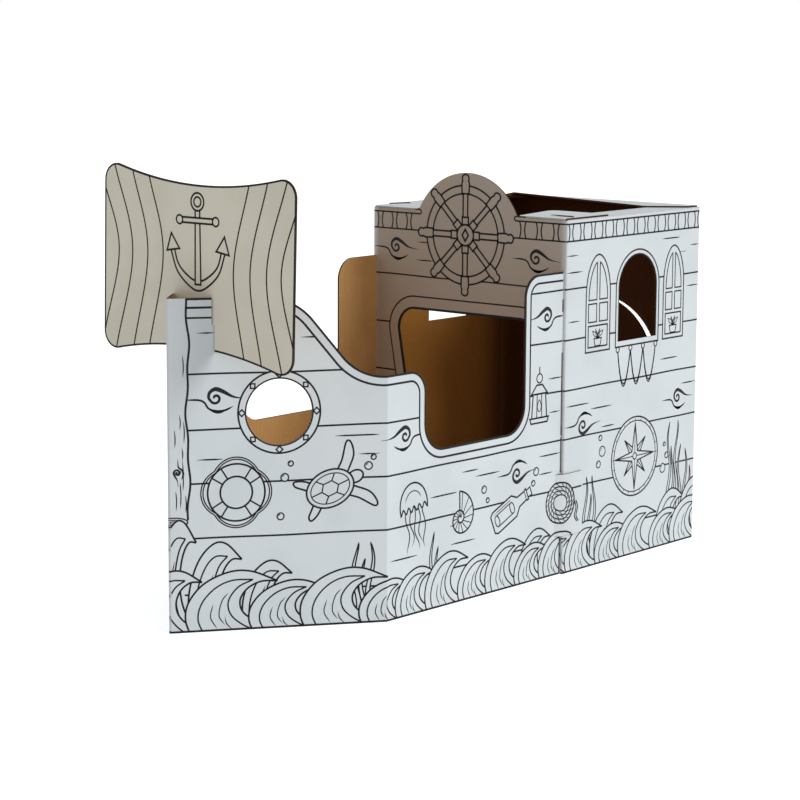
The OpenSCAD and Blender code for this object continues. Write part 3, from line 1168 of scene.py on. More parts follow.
def life_ring(art: Drawing, centre: Pair, radius: float) -> None:
    """Life ring with four bands and a rope that hangs in bows between them.

    Args:
        art: the drawing.
        centre: its middle.
        radius: outer radius of the ring.
    """
    hole, band = 0.56, 13
    for start in (45, 135, 225, 315):
        a = np.radians(np.linspace(start, start + 90, 30))
        r = radius * (1.0 + 0.16 * np.sin((a - a[0]) * 2))
        for extra in (0, 5):
            art.line(way(a) * (r + extra)[:, None] + centre, 0.7)
    for _ in range(2):  # the second pass leaves pieces of the first outline under its line
        art.shape(ring(centre, radius))
    art.line(ring(centre, radius * hole), closed=True)
    for middle in (45, 135, 225, 315):
        for side in (-band, band):
            out = way(math.radians(middle + side)) * radius
            art.line([centre + out * hole, centre + out], 0.85)


def turtle(stamp: Stamp) -> None:
    """Sea turtle from above: four flippers, a head and a shell of plates.

    Args:
        stamp: where it is drawn, how large and at what angle.
    """
    flippers = (
        [(24, 22), (42, 40), (62, 66), (70, 62), (66, 40), (50, 22), (36, 12)],
        [(-26, 20), (-40, 34), (-56, 40), (-58, 32), (-46, 20), (-34, 10)],
    )
    for flipper in flippers:
        for sign in (1, -1):
            stamp.shape(spline(np.array(flipper) * [1, sign], closed=True))
    stamp.shape(ring((52, 0), 15, squash=0.75))
    stamp.shape(ring((0, 0), 46, squash=0.74))
    stamp.line(ring((0, 0), 38, squash=0.7), 0.6, closed=True)
    hexagon = way(np.radians(np.arange(6) * 60))
    stamp.line(hexagon * [17, 14], 0.7, closed=True)
    for out in hexagon:
        stamp.line([out * [17, 14], out * [38, 26.6]], 0.7)


def jellyfish(stamp: Stamp) -> None:
    """Jellyfish: a bell with a scalloped hem and wavy arms.

    Args:
        stamp: where it is drawn, how large and at what angle.
    """
    reach, half = 88, 38
    z = np.linspace(0, -reach, 44)
    for i, x in enumerate((-24, -12, 0, 12, 24)):
        sway = 5 * np.sin(z / 11 + i * 1.3) * (z / -reach + 0.3)
        stamp.line(np.column_stack([x + sway, z * (1 - 0.13 * (i % 2))]), 0.75, taper=(0, 24))
    x = np.linspace(-half, half, 61)
    hem = np.column_stack([x, 5 * np.cos(x / half * math.pi * 5.0) - 6])
    stamp.shape(np.vstack([ring((0, -1), half + 1, 0, 180, 1.15), hem]))
    stamp.line(ring((0, 2), 24, 20, 160, 1.1), 0.6, taper=(10, 10))


def bottle(stamp: Stamp) -> None:
    """Corked bottle with a rolled letter in it.

    Args:
        stamp: where it is drawn, how large and at what angle.
    """
    half = [(-52, 0), (-52, 17), (-44, 22), (14, 22), (28, 10), (50, 9)]
    half += [(52, 11), (56, 11), (56, 0)]
    stamp.shape(np.vstack([half, (np.array(half) * [1, -1])[::-1]]))
    stamp.shape([(56, 7), (68, 8), (68, -8), (56, -7)], 0.8)
    stamp.line([(-38, 11), (8, 11), (8, -11), (-38, -11)], 0.7, closed=True)
    for x in (-38, 8):
        stamp.shape(ring((x, 0), 6, squash=1.85), 0.7)
    stamp.line([(50, 9), (50, -9)], 0.6)
    stamp.line([(-44, 16), (10, 16)], 0.5, taper=(8, 8))


def snail_shell(stamp: Stamp) -> None:
    """Spiral shell r = 3.1 e^(0.195 a) over 2.2 turns, with ribs between its turns.

    Args:
        stamp: where it is drawn, how large and at what angle.
    """

    def radius(a: Array | float) -> Array | float:
        """Radius of the spiral at an angle."""
        return 3.1 * np.exp(0.195 * a)

    turn = 2 * math.pi
    a = np.linspace(0, 2.2 * turn, 260)
    curve = way(a) * radius(a)[:, None]
    last = curve[a > a[-1] - turn]
    stamp.art.cover(stamp.put(last))
    stamp.line(curve)
    stamp.line([last[0], last[-1]])
    for k in np.arange(1.1 * turn, 2.175 * turn, turn / 14):
        inner, outer = radius(k - turn), radius(k)
        bows = ((inner, 0.16), ((inner + outer) / 2, 0.04), (outer, 0.0))
        stamp.line(spline([r * way(k - back) for r, back in bows]), 0.55)


def rope_coil(art: Drawing, centre: Pair, radius: float) -> None:
    """Coil of rope seen from its face, with its strands and its end.

    Args:
        art: the drawing.
        centre: its middle.
        radius: its outer radius.
    """
    art.shape(ring(centre, radius))
    for share in (0.8, 0.6, 0.4):
        art.line(ring(centre, radius * share), 0.8, closed=True)
    for share in (0.9, 0.7, 0.5):
        for a in np.radians(np.arange(0, 360, 15 / share)):
            at, half = centre + radius * share * way(a), way(a + 0.9) * radius * 0.085
            art.line([at - half, at + half], 0.45)
    end = spline([(radius, 0), (radius + 8, -18), (radius + 2, -40), (radius + 12, -56)])
    art.lines(end + centre, end + centre + [7, 0], width=0.8)


def lantern(stamp: Stamp) -> None:
    """Hanging ship's lantern with a ring, a hood, panes and a flame.

    Args:
        stamp: where it is drawn, how large and at what angle.
    """
    stamp.line([(0, 62), (0, 78)], 0.9)
    stamp.shape(ring((0, 55), 9), 0.8)
    stamp.shape([(-9, 42), (9, 42), (26, 24), (-26, 24)])
    stamp.shape([(-20, 24), (20, 24), (24, -24), (-24, -24)])
    stamp.shape([(-30, -24), (30, -24), (26, -34), (-26, -34)])
    for side in (-1, 1):
        stamp.line([(side * 7, 24), (side * 8, -24)], 0.7)
    flame = spline([(0, 12), (6, 0), (3, -10), (-3, -10), (-6, 0)], closed=True)
    stamp.line(flame, 0.6, closed=True)


def swag(art: Drawing, start: float, end: float, z: float, drop: float) -> None:
    """Rope that hangs in three bows from pegs: z - drop (1 - x^2) in each bow.

    Args:
        art: the drawing.
        start: the first peg.
        end: the last peg.
        z: height of the pegs.
        drop: how deep a bow hangs.
    """
    pegs = np.linspace(start, end, 4)
    x = np.linspace(-1, 1, 40)
    sag = z - drop * (1 - x**2)
    for a, b in zip(pegs[:-1], pegs[1:]):
        s = (a + b) / 2 + (b - a) / 2 * x
        art.lines(np.column_stack([s, sag + 3.5]), np.column_stack([s, sag - 3.5]), width=0.8)
        for k in range(3, 38, 4):
            art.line([(s[k] - 2.5, sag[k] - 3), (s[k] + 2.5, sag[k] + 3)], 0.5)
    for peg in pegs:
        art.shape(ring((peg, z + 2), 7), 0.8)


def bubbles(art: Drawing, *spots: Triple, start: float = 0.0) -> None:
    """Round bubbles (s, z, radius), s counted from start, each with a short gleam.

    Args:
        art: the drawing.
        spots: place, height and radius of each.
        start: length from which the places are counted.
    """
    for s, z, radius in spots:
        art.shape(ring((start + s, z), radius), 0.75)
        art.line(ring((start + s, z), radius * 0.6, 100, 170), 0.5)


def seaweed(art: Drawing, s: float, height: float, blades: int) -> None:
    """Tuft of weed.

    The middle of blade i sways as 7 sin(z / 26 + i), and its width runs out at the tip as
    sqrt(1 - z / height).

    Args:
        art: the drawing.
        s: the tuft's place.
        height: its height.
        blades: how many there are.
    """
    for i in range(blades):
        tall = height * (1 - 0.2 * (i % 2))
        z = np.linspace(0, tall, 40)
        middle = s + (i - blades / 2) * 17 + 7 * np.sin(z / 26 + i)
        half = 6.5 * np.sqrt(np.clip(1 - z / tall, 0, 1))
        left, right = np.column_stack([middle - half, z]), np.column_stack([middle + half, z])
        art.shape(np.vstack([left, right[::-1]]), 0.8)


def anchor(stamp: Stamp) -> None:
    """Plain anchor: ring, stock with knobs, shank and two arms with flukes.

    Args:
        stamp: where it is drawn, how large and at what angle.
    """
    arm = spline([(-78, 14), (-62, -34), (-28, -62), (0, -70), (28, -62), (62, -34), (78, 14)])
    low = spline([(86, -2), (66, -50), (32, -80), (0, -92), (-32, -80), (-66, -50), (-86, -2)])
    stamp.shape(np.vstack([arm, low]), 1.2)
    for side in (-1, 1):
        stamp.shape(np.array([(98, -6), (84, 34), (58, 0)]) * [side, 1], 1.2)
    stamp.shape([(-9, -78), (9, -78), (7, 92), (-7, 92)], 1.2)
    stamp.shape(box((-52, 60), (52, 72)), 1.2)
    for side in (-1, 1):
        stamp.shape(ring((side * 57, 66), 10), 1.1)
    stamp.shape(ring((0, 108), 20), 1.2)
    stamp.line(ring((0, 108), 11), 1.1, closed=True)


def steering_wheel(art: Drawing, centre: Pair) -> None:
    """Ship's wheel: a rim of two rings, eight turned spokes with grips, a hub and a diamond.

    Args:
        art: the drawing.
        centre: the hub's middle.
    """
    inner, outer = 106, 127
    art.shape(ring(centre, outer), 1.2)
    art.line(ring(centre, inner), 1.15, closed=True)
    grip = spline(
        [(inner, 11), (120, 12), (133, 12), (139, 9.5), (146, 11), (153, 7.5), (156, 0)]
    )
    half = np.vstack([[(40, 7.5), (inner, 7.5)], grip])
    for turn in range(0, 360, 45):
        spoke = art.at(centre, turn=turn)
        spoke.shape(np.vstack([half, (half * [1, -1])[::-1]]), 1.2)
        spoke.line([(inner, 11), (inner, -11)], 1.1)
        spoke.shape([(26, 10), (46, 10), (46, -10), (26, -10)], 1.2)
    art.shape(ring(centre, 27), 1.3)
    art.at(centre).line([(-10, 0), (0, 15), (10, 0), (0, -15)], 1.3, closed=True)


def porthole_ring(art: Drawing, centre: Pair) -> None:
    """Porthole's frame: an outer ring, a line round the hole and eight bolts.

    Args:
        art: the drawing.
        centre: the hole's middle.
    """
    art.shape(ring(centre, 95))
    art.line(ring(centre, 78), 0.8, closed=True)
    for k, out in enumerate(way(np.radians(np.arange(8) * 45))):
        bolt = art.at(centre + 86.5 * out, *((0.8, 0) if k % 2 else (0.85, 45)))
        bolt.line(box((-6.4, -6.4), (6.4, 6.4)), 0.8, closed=True)


def arched(middle: float, foot: float, spring: float, radius: float) -> Array:
    """Open line up one side, round a half circle and down the other side.

    Args:
        middle: the arch's middle.
        foot: where both sides start.
        spring: height at which the half circle starts.
        radius: half the width.

    Returns:
        (n, 2) array of points.
    """
    top = ring((middle, spring), radius, 180, 0)
    return np.vstack([[(middle - radius, foot)], top, [(middle + radius, foot)]])


@dataclass
class Board:
    """Sheet of corrugated board, dressed on a copy of its solid in the frame.

    A face is a sheet face where the other one lies 4 mm behind it, or 8 mm on a broad face
    with a second layer; else it is a cut edge. Lengths are in metres, broad is an area and
    angles are in degrees. From the height level_x up, a level sheet's flutes run along X.
    """

    source: bpy.types.Object
    finishes: tuple[bpy.types.Material, ...]
    ink: bpy.types.Material
    node: ClassVar[str] = ""
    slot: ClassVar[str] = "printed_board"
    centre: ClassVar[Pair] = (0.0, 0.0)
    thickness: float = 0.004
    play: float = 0.0006
    broad: float = 0.0004
    softness: float = 0.00035
    level_x: float = 0.8965
    upright: float = 0.7
    flat_angle: float = 0.4
    smooth_angle: float = 32.0
    soft_angle: float = 50.0

    def printed(self, normal: Array, middle: Array) -> Array:
        """Finds the sheet faces that look outwards: n . (c - centre) + 0.3 n_z > 0.

        Args:
            normal: (n, 3) normals.
            middle: (n, 3) middles.

        Returns:
            True for each face that is printed.
        """
        away = middle[:, :2] - np.array(self.centre)
        return (normal[:, :2] * away).sum(1) + 0.3 * normal[:, 2] > 0

    def tree(self) -> BVHTree:
        """Search tree over the solid's surface.

        Returns:
            The tree, in metres.
        """
        mesh = self.source.data
        faces = [tuple(p.vertices) for p in mesh.polygons]
        return BVHTree.FromPolygons([v.co.copy() for v in mesh.vertices], faces)

    def shape_mesh(self, mesh: bmesh.types.BMesh) -> None:
        """Leaves the solid's shape as it is."""

    def sort_faces(self, mesh: bmesh.types.BMesh) -> None:
        """Gives each face its material slot by a ray through the board.

        Args:
            mesh: the board.
        """
        mesh.normal_update()
        tree = BVHTree.FromBMesh(mesh)
        middles = [face.calc_center_median() for face in mesh.faces]
        normals = [face.normal.copy() for face in mesh.faces]
        sizes = [face.calc_area() for face in mesh.faces]
        sheet = np.zeros(len(middles), bool)
        skin, reach = 1e-4, 0.02
        for i, (middle, normal, size) in enumerate(zip(middles, normals, sizes)):
            _, other, _, distance = tree.ray_cast(middle - normal * skin, -normal, reach)
            if other is not None and other.dot(normal) < -0.9:
                double = size > self.broad and distance > 1.5 * self.thickness
                depth = self.thickness * (2 if double else 1)
                sheet[i] = abs(distance + skin - depth) < self.play
        out = self.printed(np.array(normals), np.array(middles))
        kinds = np.where(out, Face.PRINT.value, Face.KRAFT.value)
        for face, kind in zip(mesh.faces, np.where(sheet, kinds, Face.CUT.value)):
            face.material_index = int(kind)

    def map_faces(self, mesh: bmesh.types.BMesh) -> None:
        """Writes the UV map and the depth through the board.

        On an upright face u is p . (-n_y, n_x) and v is z. On a level face u runs along X
        in the rim's upper layer, and along Y below it. A cut edge takes the tangent of the
        broadest sheet face beside it.

        Args:
            mesh: the sorted board.
        """
        uv = mesh.loops.layers.uv.new("flat")
        depth = mesh.verts.layers.float.new("depth")
        sides = {Face.PRINT.value: 0.0, Face.KRAFT.value: 1.0}
        for face in mesh.faces:
            if face.material_index in sides:
                for vertex in face.verts:
                    vertex[depth] = sides[face.material_index]
        for face in mesh.faces:
            normal = face.normal
            if face.material_index == Face.CUT.value:
                around = (f for e in face.edges for f in e.link_faces)
                beside = [f for f in around if f.material_index != Face.CUT.value]
                normal = max(beside, key=lambda f: f.calc_area()).normal if beside else normal
            if abs(normal.z) <= self.upright:
                tangent = Vector((-normal.y, normal.x, 0)).normalized()
            elif face.calc_center_median().z >= self.level_x:
                tangent = Vector((1, 0, 0))
            else:
                tangent = Vector((0, 1, 0))
            for loop in face.loops:
                loop[uv].uv = (loop.vert.co.dot(tangent), loop.vert.co.z)

    def build(self) -> bpy.types.Object:
        """Copies, sorts, maps and softens the board, and puts it in the node's place.

        Returns:
            The dressed piece.
        """
        mesh = bmesh.new()
        mesh.from_mesh(self.source.data)
        bmesh.ops.remove_doubles(mesh, verts=mesh.verts, dist=2e-5)
        self.shape_mesh(mesh)
        self.sort_faces(mesh)
        limits = {"angle_limit": math.radians(self.flat_angle), "delimit": {"MATERIAL", "NORMAL"}}
        bmesh.ops.dissolve_limit(mesh, verts=mesh.verts, edges=mesh.edges, **limits)
        mesh.normal_update()
        self.map_faces(mesh)
        data = bpy.data.meshes.new(f"{self.node}_board")
        mesh.to_mesh(data)
        mesh.free()
        for finish in self.finishes:
            data.materials.append(finish)
        data.shade_smooth()
        data.set_sharp_from_angle(angle=math.radians(self.smooth_angle))
        piece = bpy.data.objects.new(f"{self.node}_board", data)
        bpy.context.scene.collection.objects.link(piece)
        bevel = piece.modifiers.new("softness", "BEVEL")
        bevel.width, bevel.segments, bevel.limit_method = self.softness, 1, "ANGLE"
        bevel.angle_limit, bevel.material = math.radians(self.soft_angle), Face.CUT.value
        bevel.harden_normals = True
        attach(piece, "root")
        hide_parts(self.node)
        return piece


@dataclass
class CabinSheet(Board):
    """Cabin: front wall with the wheel, side walls with windows, stern wall with the door.

    Pairs of the doorway go from its top to its sill. The window is its middle, sill, spring
    line and radius, and the door half its width, its sill and its spring line. What is read
    by shape_mesh and sort_faces is in metres: a fade is where the rise of the far flange
    ends and the length over which it grows, and the corner lap lies past an x and a y, with
    its top at a z.
    """

    node: ClassVar[str] = "cabin_wrap"
    centre: ClassVar[Pair] = (0.534, 0.0)
    front_x: float = 237.0
    front_half: float = 311.5
    fold: float = 8.639
    side_len: float = 583.0
    side_from: float = 314.64
    stern_mid: float = 1223.28
    rails: Pair = (842.5, 885.5)
    brim_z: float = 896.0
    rim_folds: tuple[Triple, ...] = (
        (-311.5, -167, 894.5), (167, 311.5, 894.5), (320.1, 903.1, 890.0), (911.7, 1300, 894.5),
    )
    window: tuple[float, float, float, float] = (311, 571, 707, 83)
    upstand_half: float = 158.0
    wheel: Pair = (-6.0, 839.0)
    doorway_half: Pair = (236.0, 153.3)
    doorway_z: Pair = (636.0, 190.0)
    doorway_r: Pair = (52.0, 70.0)
    trim_in: float = 33.0
    lip_in: float = 2.4
    door: Triple = (195.0, 48.0, 442.0)
    door_hinge: Pair = (829.0, 195.0)
    door_ajar: float = 3.0
    door_plank: float = 57.0
    rim_low: float = 0.8905
    far_lift: float = 0.145
    far_y: float = 0.3115
    far_depth: float = 0.095
    front_fade: Pair = (0.2425, 0.07)
    stern_fade: Pair = (0.825, 0.11)
    lap: Triple = (0.78, 0.29, 0.881)
    lap_top: float = 0.8895
    tongue_x: float = 0.284
    tongue_y: Pair = (0.22, 0.31)
    rim_top: float = 0.9004

    def shape_mesh(self, mesh: bmesh.types.BMesh) -> None:
        """Lets the far flange of the rim stand up a little, as it does on the real one.

        It rises by far_lift times the distance from the far wall, up to the flange's 95 mm,
        and the rise runs out over 70 mm at the front wall and 110 mm at the stern wall. The
        corner lap, 881 mm high, reaches 889.5 mm, so that no light shows over it.

        Args:
            mesh: the board, which is cut where the rise bends and then changed.
        """
        bends = ((0.312, 0, 0), (0.715, 0, 0), (0, self.far_y - self.far_depth, 0))
        for place, normal in zip(bends, ((1, 0, 0), (1, 0, 0), (0, 1, 0))):
            rim = [v for v in mesh.verts if v.co.z > self.rim_low and v.co.y > 0.0]
            around = {f for v in rim for f in v.link_faces}
            around = {f for f in around if f.calc_center_median().z > self.rim_low}
            cut = [*around, *{e for f in around for e in f.edges}]
            bmesh.ops.bisect_plane(mesh, geom=cut, plane_co=place, plane_no=normal, dist=1e-6)
        bmesh.ops.triangulate(mesh, faces=[f for f in mesh.faces if len(f.verts) > 3])
        (front, rise), (stern, fall), (lap_x, lap_y, lap_z) = (
            self.front_fade, self.stern_fade, self.lap,
        )
        for vertex in mesh.verts:
            x, y, z = vertex.co
            if z > self.rim_low and y > 0.0:
                reach = min(max(self.far_y - y, 0.0), self.far_depth)
                fade = max(min((x - front) / rise, (stern - x) / fall, 1.0), 0.0)
                vertex.co.z += self.far_lift * reach * fade
            elif x > lap_x and y > lap_y and abs(z - lap_z) < 0.0005:
                vertex.co.z = self.lap_top

    def sort_faces(self, mesh: bmesh.types.BMesh) -> None:
        """Sorts the faces and gives the locking tongues that stand out of the rim the dark cut-edge
        finish, a painted shadow of their slots.

        Args:
            mesh: the board.
        """
        super().sort_faces(mesh)
        low, high = self.tongue_y
        for face in mesh.faces:
            x, y, z = face.calc_center_median()
            # Painted shadow: the tongues' upright faces take the dark cut-edge finish where the
            # slots' shadow lies.
            if z > self.rim_top and abs(x - self.tongue_x) < 0.003 and low < abs(y) < high:
                face.material_index = Face.CUT.value

    def path(self, side: Side) -> FoldedPath:
        """Printed face from the middle of the front wall to the middle of the stern wall.

        Args:
            side: side of the ship.

        Returns:
            The path, in millimetres.
        """
        half, corner = Run(self.front_half), Run(self.fold, 90)
        runs = (half, corner, Run(self.side_len), corner, half)
        return FoldedPath((self.front_x, 0.0), -90, runs, side, self.rim_folds)

    def wall(self, start: float, end: float) -> Drawing:
        """Planks, rails and the line along the rim, from one length to another.

        Args:
            start: where they start.
            end: where they end.

        Returns:
            The new drawing.
        """
        art = Drawing(4.2)
        planks(art, start, end)
        for z, width in ((self.rails[0], 1.0), (self.rails[1], 1.0), (self.brim_z, 1.2)):
            art.line([(start, z), (end, z)], width)
        return art

    def foot(self, art: Drawing, start: float, end: float) -> Drawing:
        """Draws the line along the foot, print that also serves as painted contact shadow, and cuts
        the drawing off at its ends.

        Args:
            art: the wall's drawing.
            start: where it starts.
            end: where it ends.

        Returns:
            The same drawing.
        """
        art.line([(start, FOOT_Z), (end, FOOT_Z)], 1.1)
        low = FOOT_Z - 0.5
        art.cut(lambda p: (p[:, 0] > start) & (p[:, 0] < end) & (p[:, 1] > low))
        return art

    def front_print(self) -> Drawing:
        """Front wall: planks, rails, doorway trim, knots and the ship's wheel.

        Returns:
            The drawing, with 0 at the wall's middle.
        """
        art = Drawing(4.0)
        half, (low_rail, high_rail) = self.front_half, self.rails
        planks(art, -half, half)
        art.line([(-half, low_rail), (half, low_rail)])
        for sign in (-1, 1):
            root = sign * self.upstand_half
            start, end = sorted((root, sign * half))
            for z, width in ((high_rail, 1.0), (high_rail + 11, 0.9)):
                art.line([(start, z), (end, z)], width)
            art.line(ring((root, high_rail + 5.5), 5.5, 90, 90 + sign * 180))
        for start, end, pitch in ((-292, -180, 49), (179, 300, 52), (-339, -312, 49)):
            balusters(art, start, end, pitch, self.rails)
        (top, low), (lintel, sill), (r_top, r_low) = (
            self.doorway_half, self.doorway_z, self.doorway_r,
        )
        left = [(0, sill, 0), (-low, sill, r_low), (-top, lintel, r_top)]
        door = rounded([*left, (top, lintel, r_top), (low, sill, r_low), (0, sill, 0)])
        trim, lip = offset(door, -self.trim_in), offset(door, -self.lip_in)
        art.cover(trim)
        art.line(trim)
        art.line(lip, 1.6)
        knot(art.at((-237, 795)))
        knot(art.at((222, 793)))
        grain(art, (-167, -120, 812), (-169, -110, 765))
        art.cut(lambda p: np.abs(p[:, 0]) < half + 0.1)
        steering_wheel(art, self.wheel)
        return art

    def side_print(self) -> Drawing:
        """Side wall from its front corner: planks, rails, windows, knots and sea finds.

        Returns:
            The drawing, with 0 at the front corner.
        """
        start, end = -3.14, self.side_len + self.fold + 5.5
        art = self.wall(start, end)
        balusters(art, 17.5, end - 8, 46.6, self.rails)
        grain(
            art,
            (2, 50, 806), (2, 70, 764), (418, 500, 822), (550, 590, 798), (500, 530, 783),
            (8, 105, 427), (112, 205, 410), (158, 218, 358), (420, 500, 505), (520, 590, 430),
            (10, 60, 640), (535, 590, 690),
        )
        knot(art.at((80, 372), turn=180, flip=True))
        knot(art.at((505, 395), 0.95))
        middle, sill, spring, r = self.window
        lancet(art, 137, 556, 802, 52)
        lancet(art, 475, 558, 802, 47)
        art.shape(arched(middle, sill - 14, spring, r + 13))
        art.line(arched(middle, sill, spring, r + 1.5), 0.8)
        swag(art, 226, 396, 548, 92)
        compass(art, (312, 262), 104)
        bubbles(art, (150, 262, 9), (166, 294, 13), (157, 330, 7))
        bubbles(art, (442, 212, 12), (459, 245, 8), (448, 276, 5))
        for s, height, blades in ((505, 330, 4), (566, 250, 2), (122, 235, 3)):
            seaweed(art, s, height, blades)
        sea(art, (128, 150, 150), (420, 140, 150), (528, 130, 168))
        sea(art, (-78, 150, 108), (22, 165, 122), (150, 150, 98), (255, 180, 122))
        sea(art, (395, 150, 100), (492, 165, 118))
        return self.foot(art, start, end)

    def stern_print(self) -> Drawing:
        """Half of the stern wall from the corner: planks, rails and the trim of the door.

        Returns:
            The drawing, with 0 at the corner.
        """
        end = self.front_half
        art = self.wall(0, end)
        balusters(art, 22, end - 15, 44.54, self.rails)
        knot(art.at((70, 770)))
        grain(art, (20, 90, 560), (30, 80, 420), (150, 260, 800), (15, 70, 150), (190, 290, 690))
        half, _, spring = self.door
        art.shape(arched(end, 30, spring, half + 26))
        sea(art, (-40, 140, 112))
        return self.foot(art, 0, end)

    def door_path(self) -> FoldedPath:
        """Printed face of the door, which hangs open into the cabin on its crease.

        Returns:
            The path from the free edge to the crease.
        """
        turn, reach = 90 - self.door_ajar, 2 * self.door[0]
        ahead = way(math.radians(turn))
        face = np.array([ahead[1], -ahead[0]]) * self.thickness / MM / 2
        x, y = np.array(self.door_hinge) + face - ahead * reach
        return FoldedPath((float(x), float(y)), turn, (Run(reach),))

    def door_print(self) -> Drawing:
        """Door leaf: a trim line inside its edge, upright planks, grain and a ring handle.

        Returns:
            The drawing, with 0 at the free edge.
        """
        art = Drawing(4.2)
        half, sill, spring = self.door
        trim = arched(half, sill + 26, spring, half - 24)
        z = np.linspace(sill + 26, 640, 60)
        for s in half + np.arange(-2, 3) * self.door_plank:
            art.line(np.column_stack([waver(z, s), z]))
        for s, low, high in (
            (52, 150, 230), (108, 300, 372), (101, 470, 520), (122, 120, 168), (165, 210, 262),
            (172, 500, 566), (222, 330, 410), (228, 110, 150), (281, 430, 500), (276, 200, 250),
            (338, 160, 214), (332, 380, 428),
        ):
            art.line([(s, low), (s, high)], 0.85, taper=(10, 16))
        knot(art.at((280, 330), 0.42, 90, flip=True))
        art.cut(lambda p: inside(trim, p))
        art.line(trim, closed=True)
        art.shape(ring((58, 345), 13), 0.9)
        art.shape(ring((58, 327), 21), 0.9)
        art.line(ring((58, 327), 14), 0.8, closed=True)
        return art

    def prints(self) -> list[bpy.types.Object]:
        """Prints the front wall and the door once and the side and stern walls twice.

        Returns:
            The printed pieces.
        """
        board, near = self.tree(), self.path(Side.NEAR)
        pieces = [
            Printer(near, board).print("wheel_print", self.front_print(), self.ink),
            Printer(self.door_path(), board).print("door_print", self.door_print(), self.ink),
        ]
        for side in Side:
            sheet = Drawing()
            sheet.add(self.side_print(), self.side_from)
            sheet.add(self.stern_print(), self.stern_mid - self.front_half)
            name = f"cabin_print_{side.name.lower()}"
            pieces.append(Printer(self.path(side), board).print(name, sheet, self.ink))
        return pieces


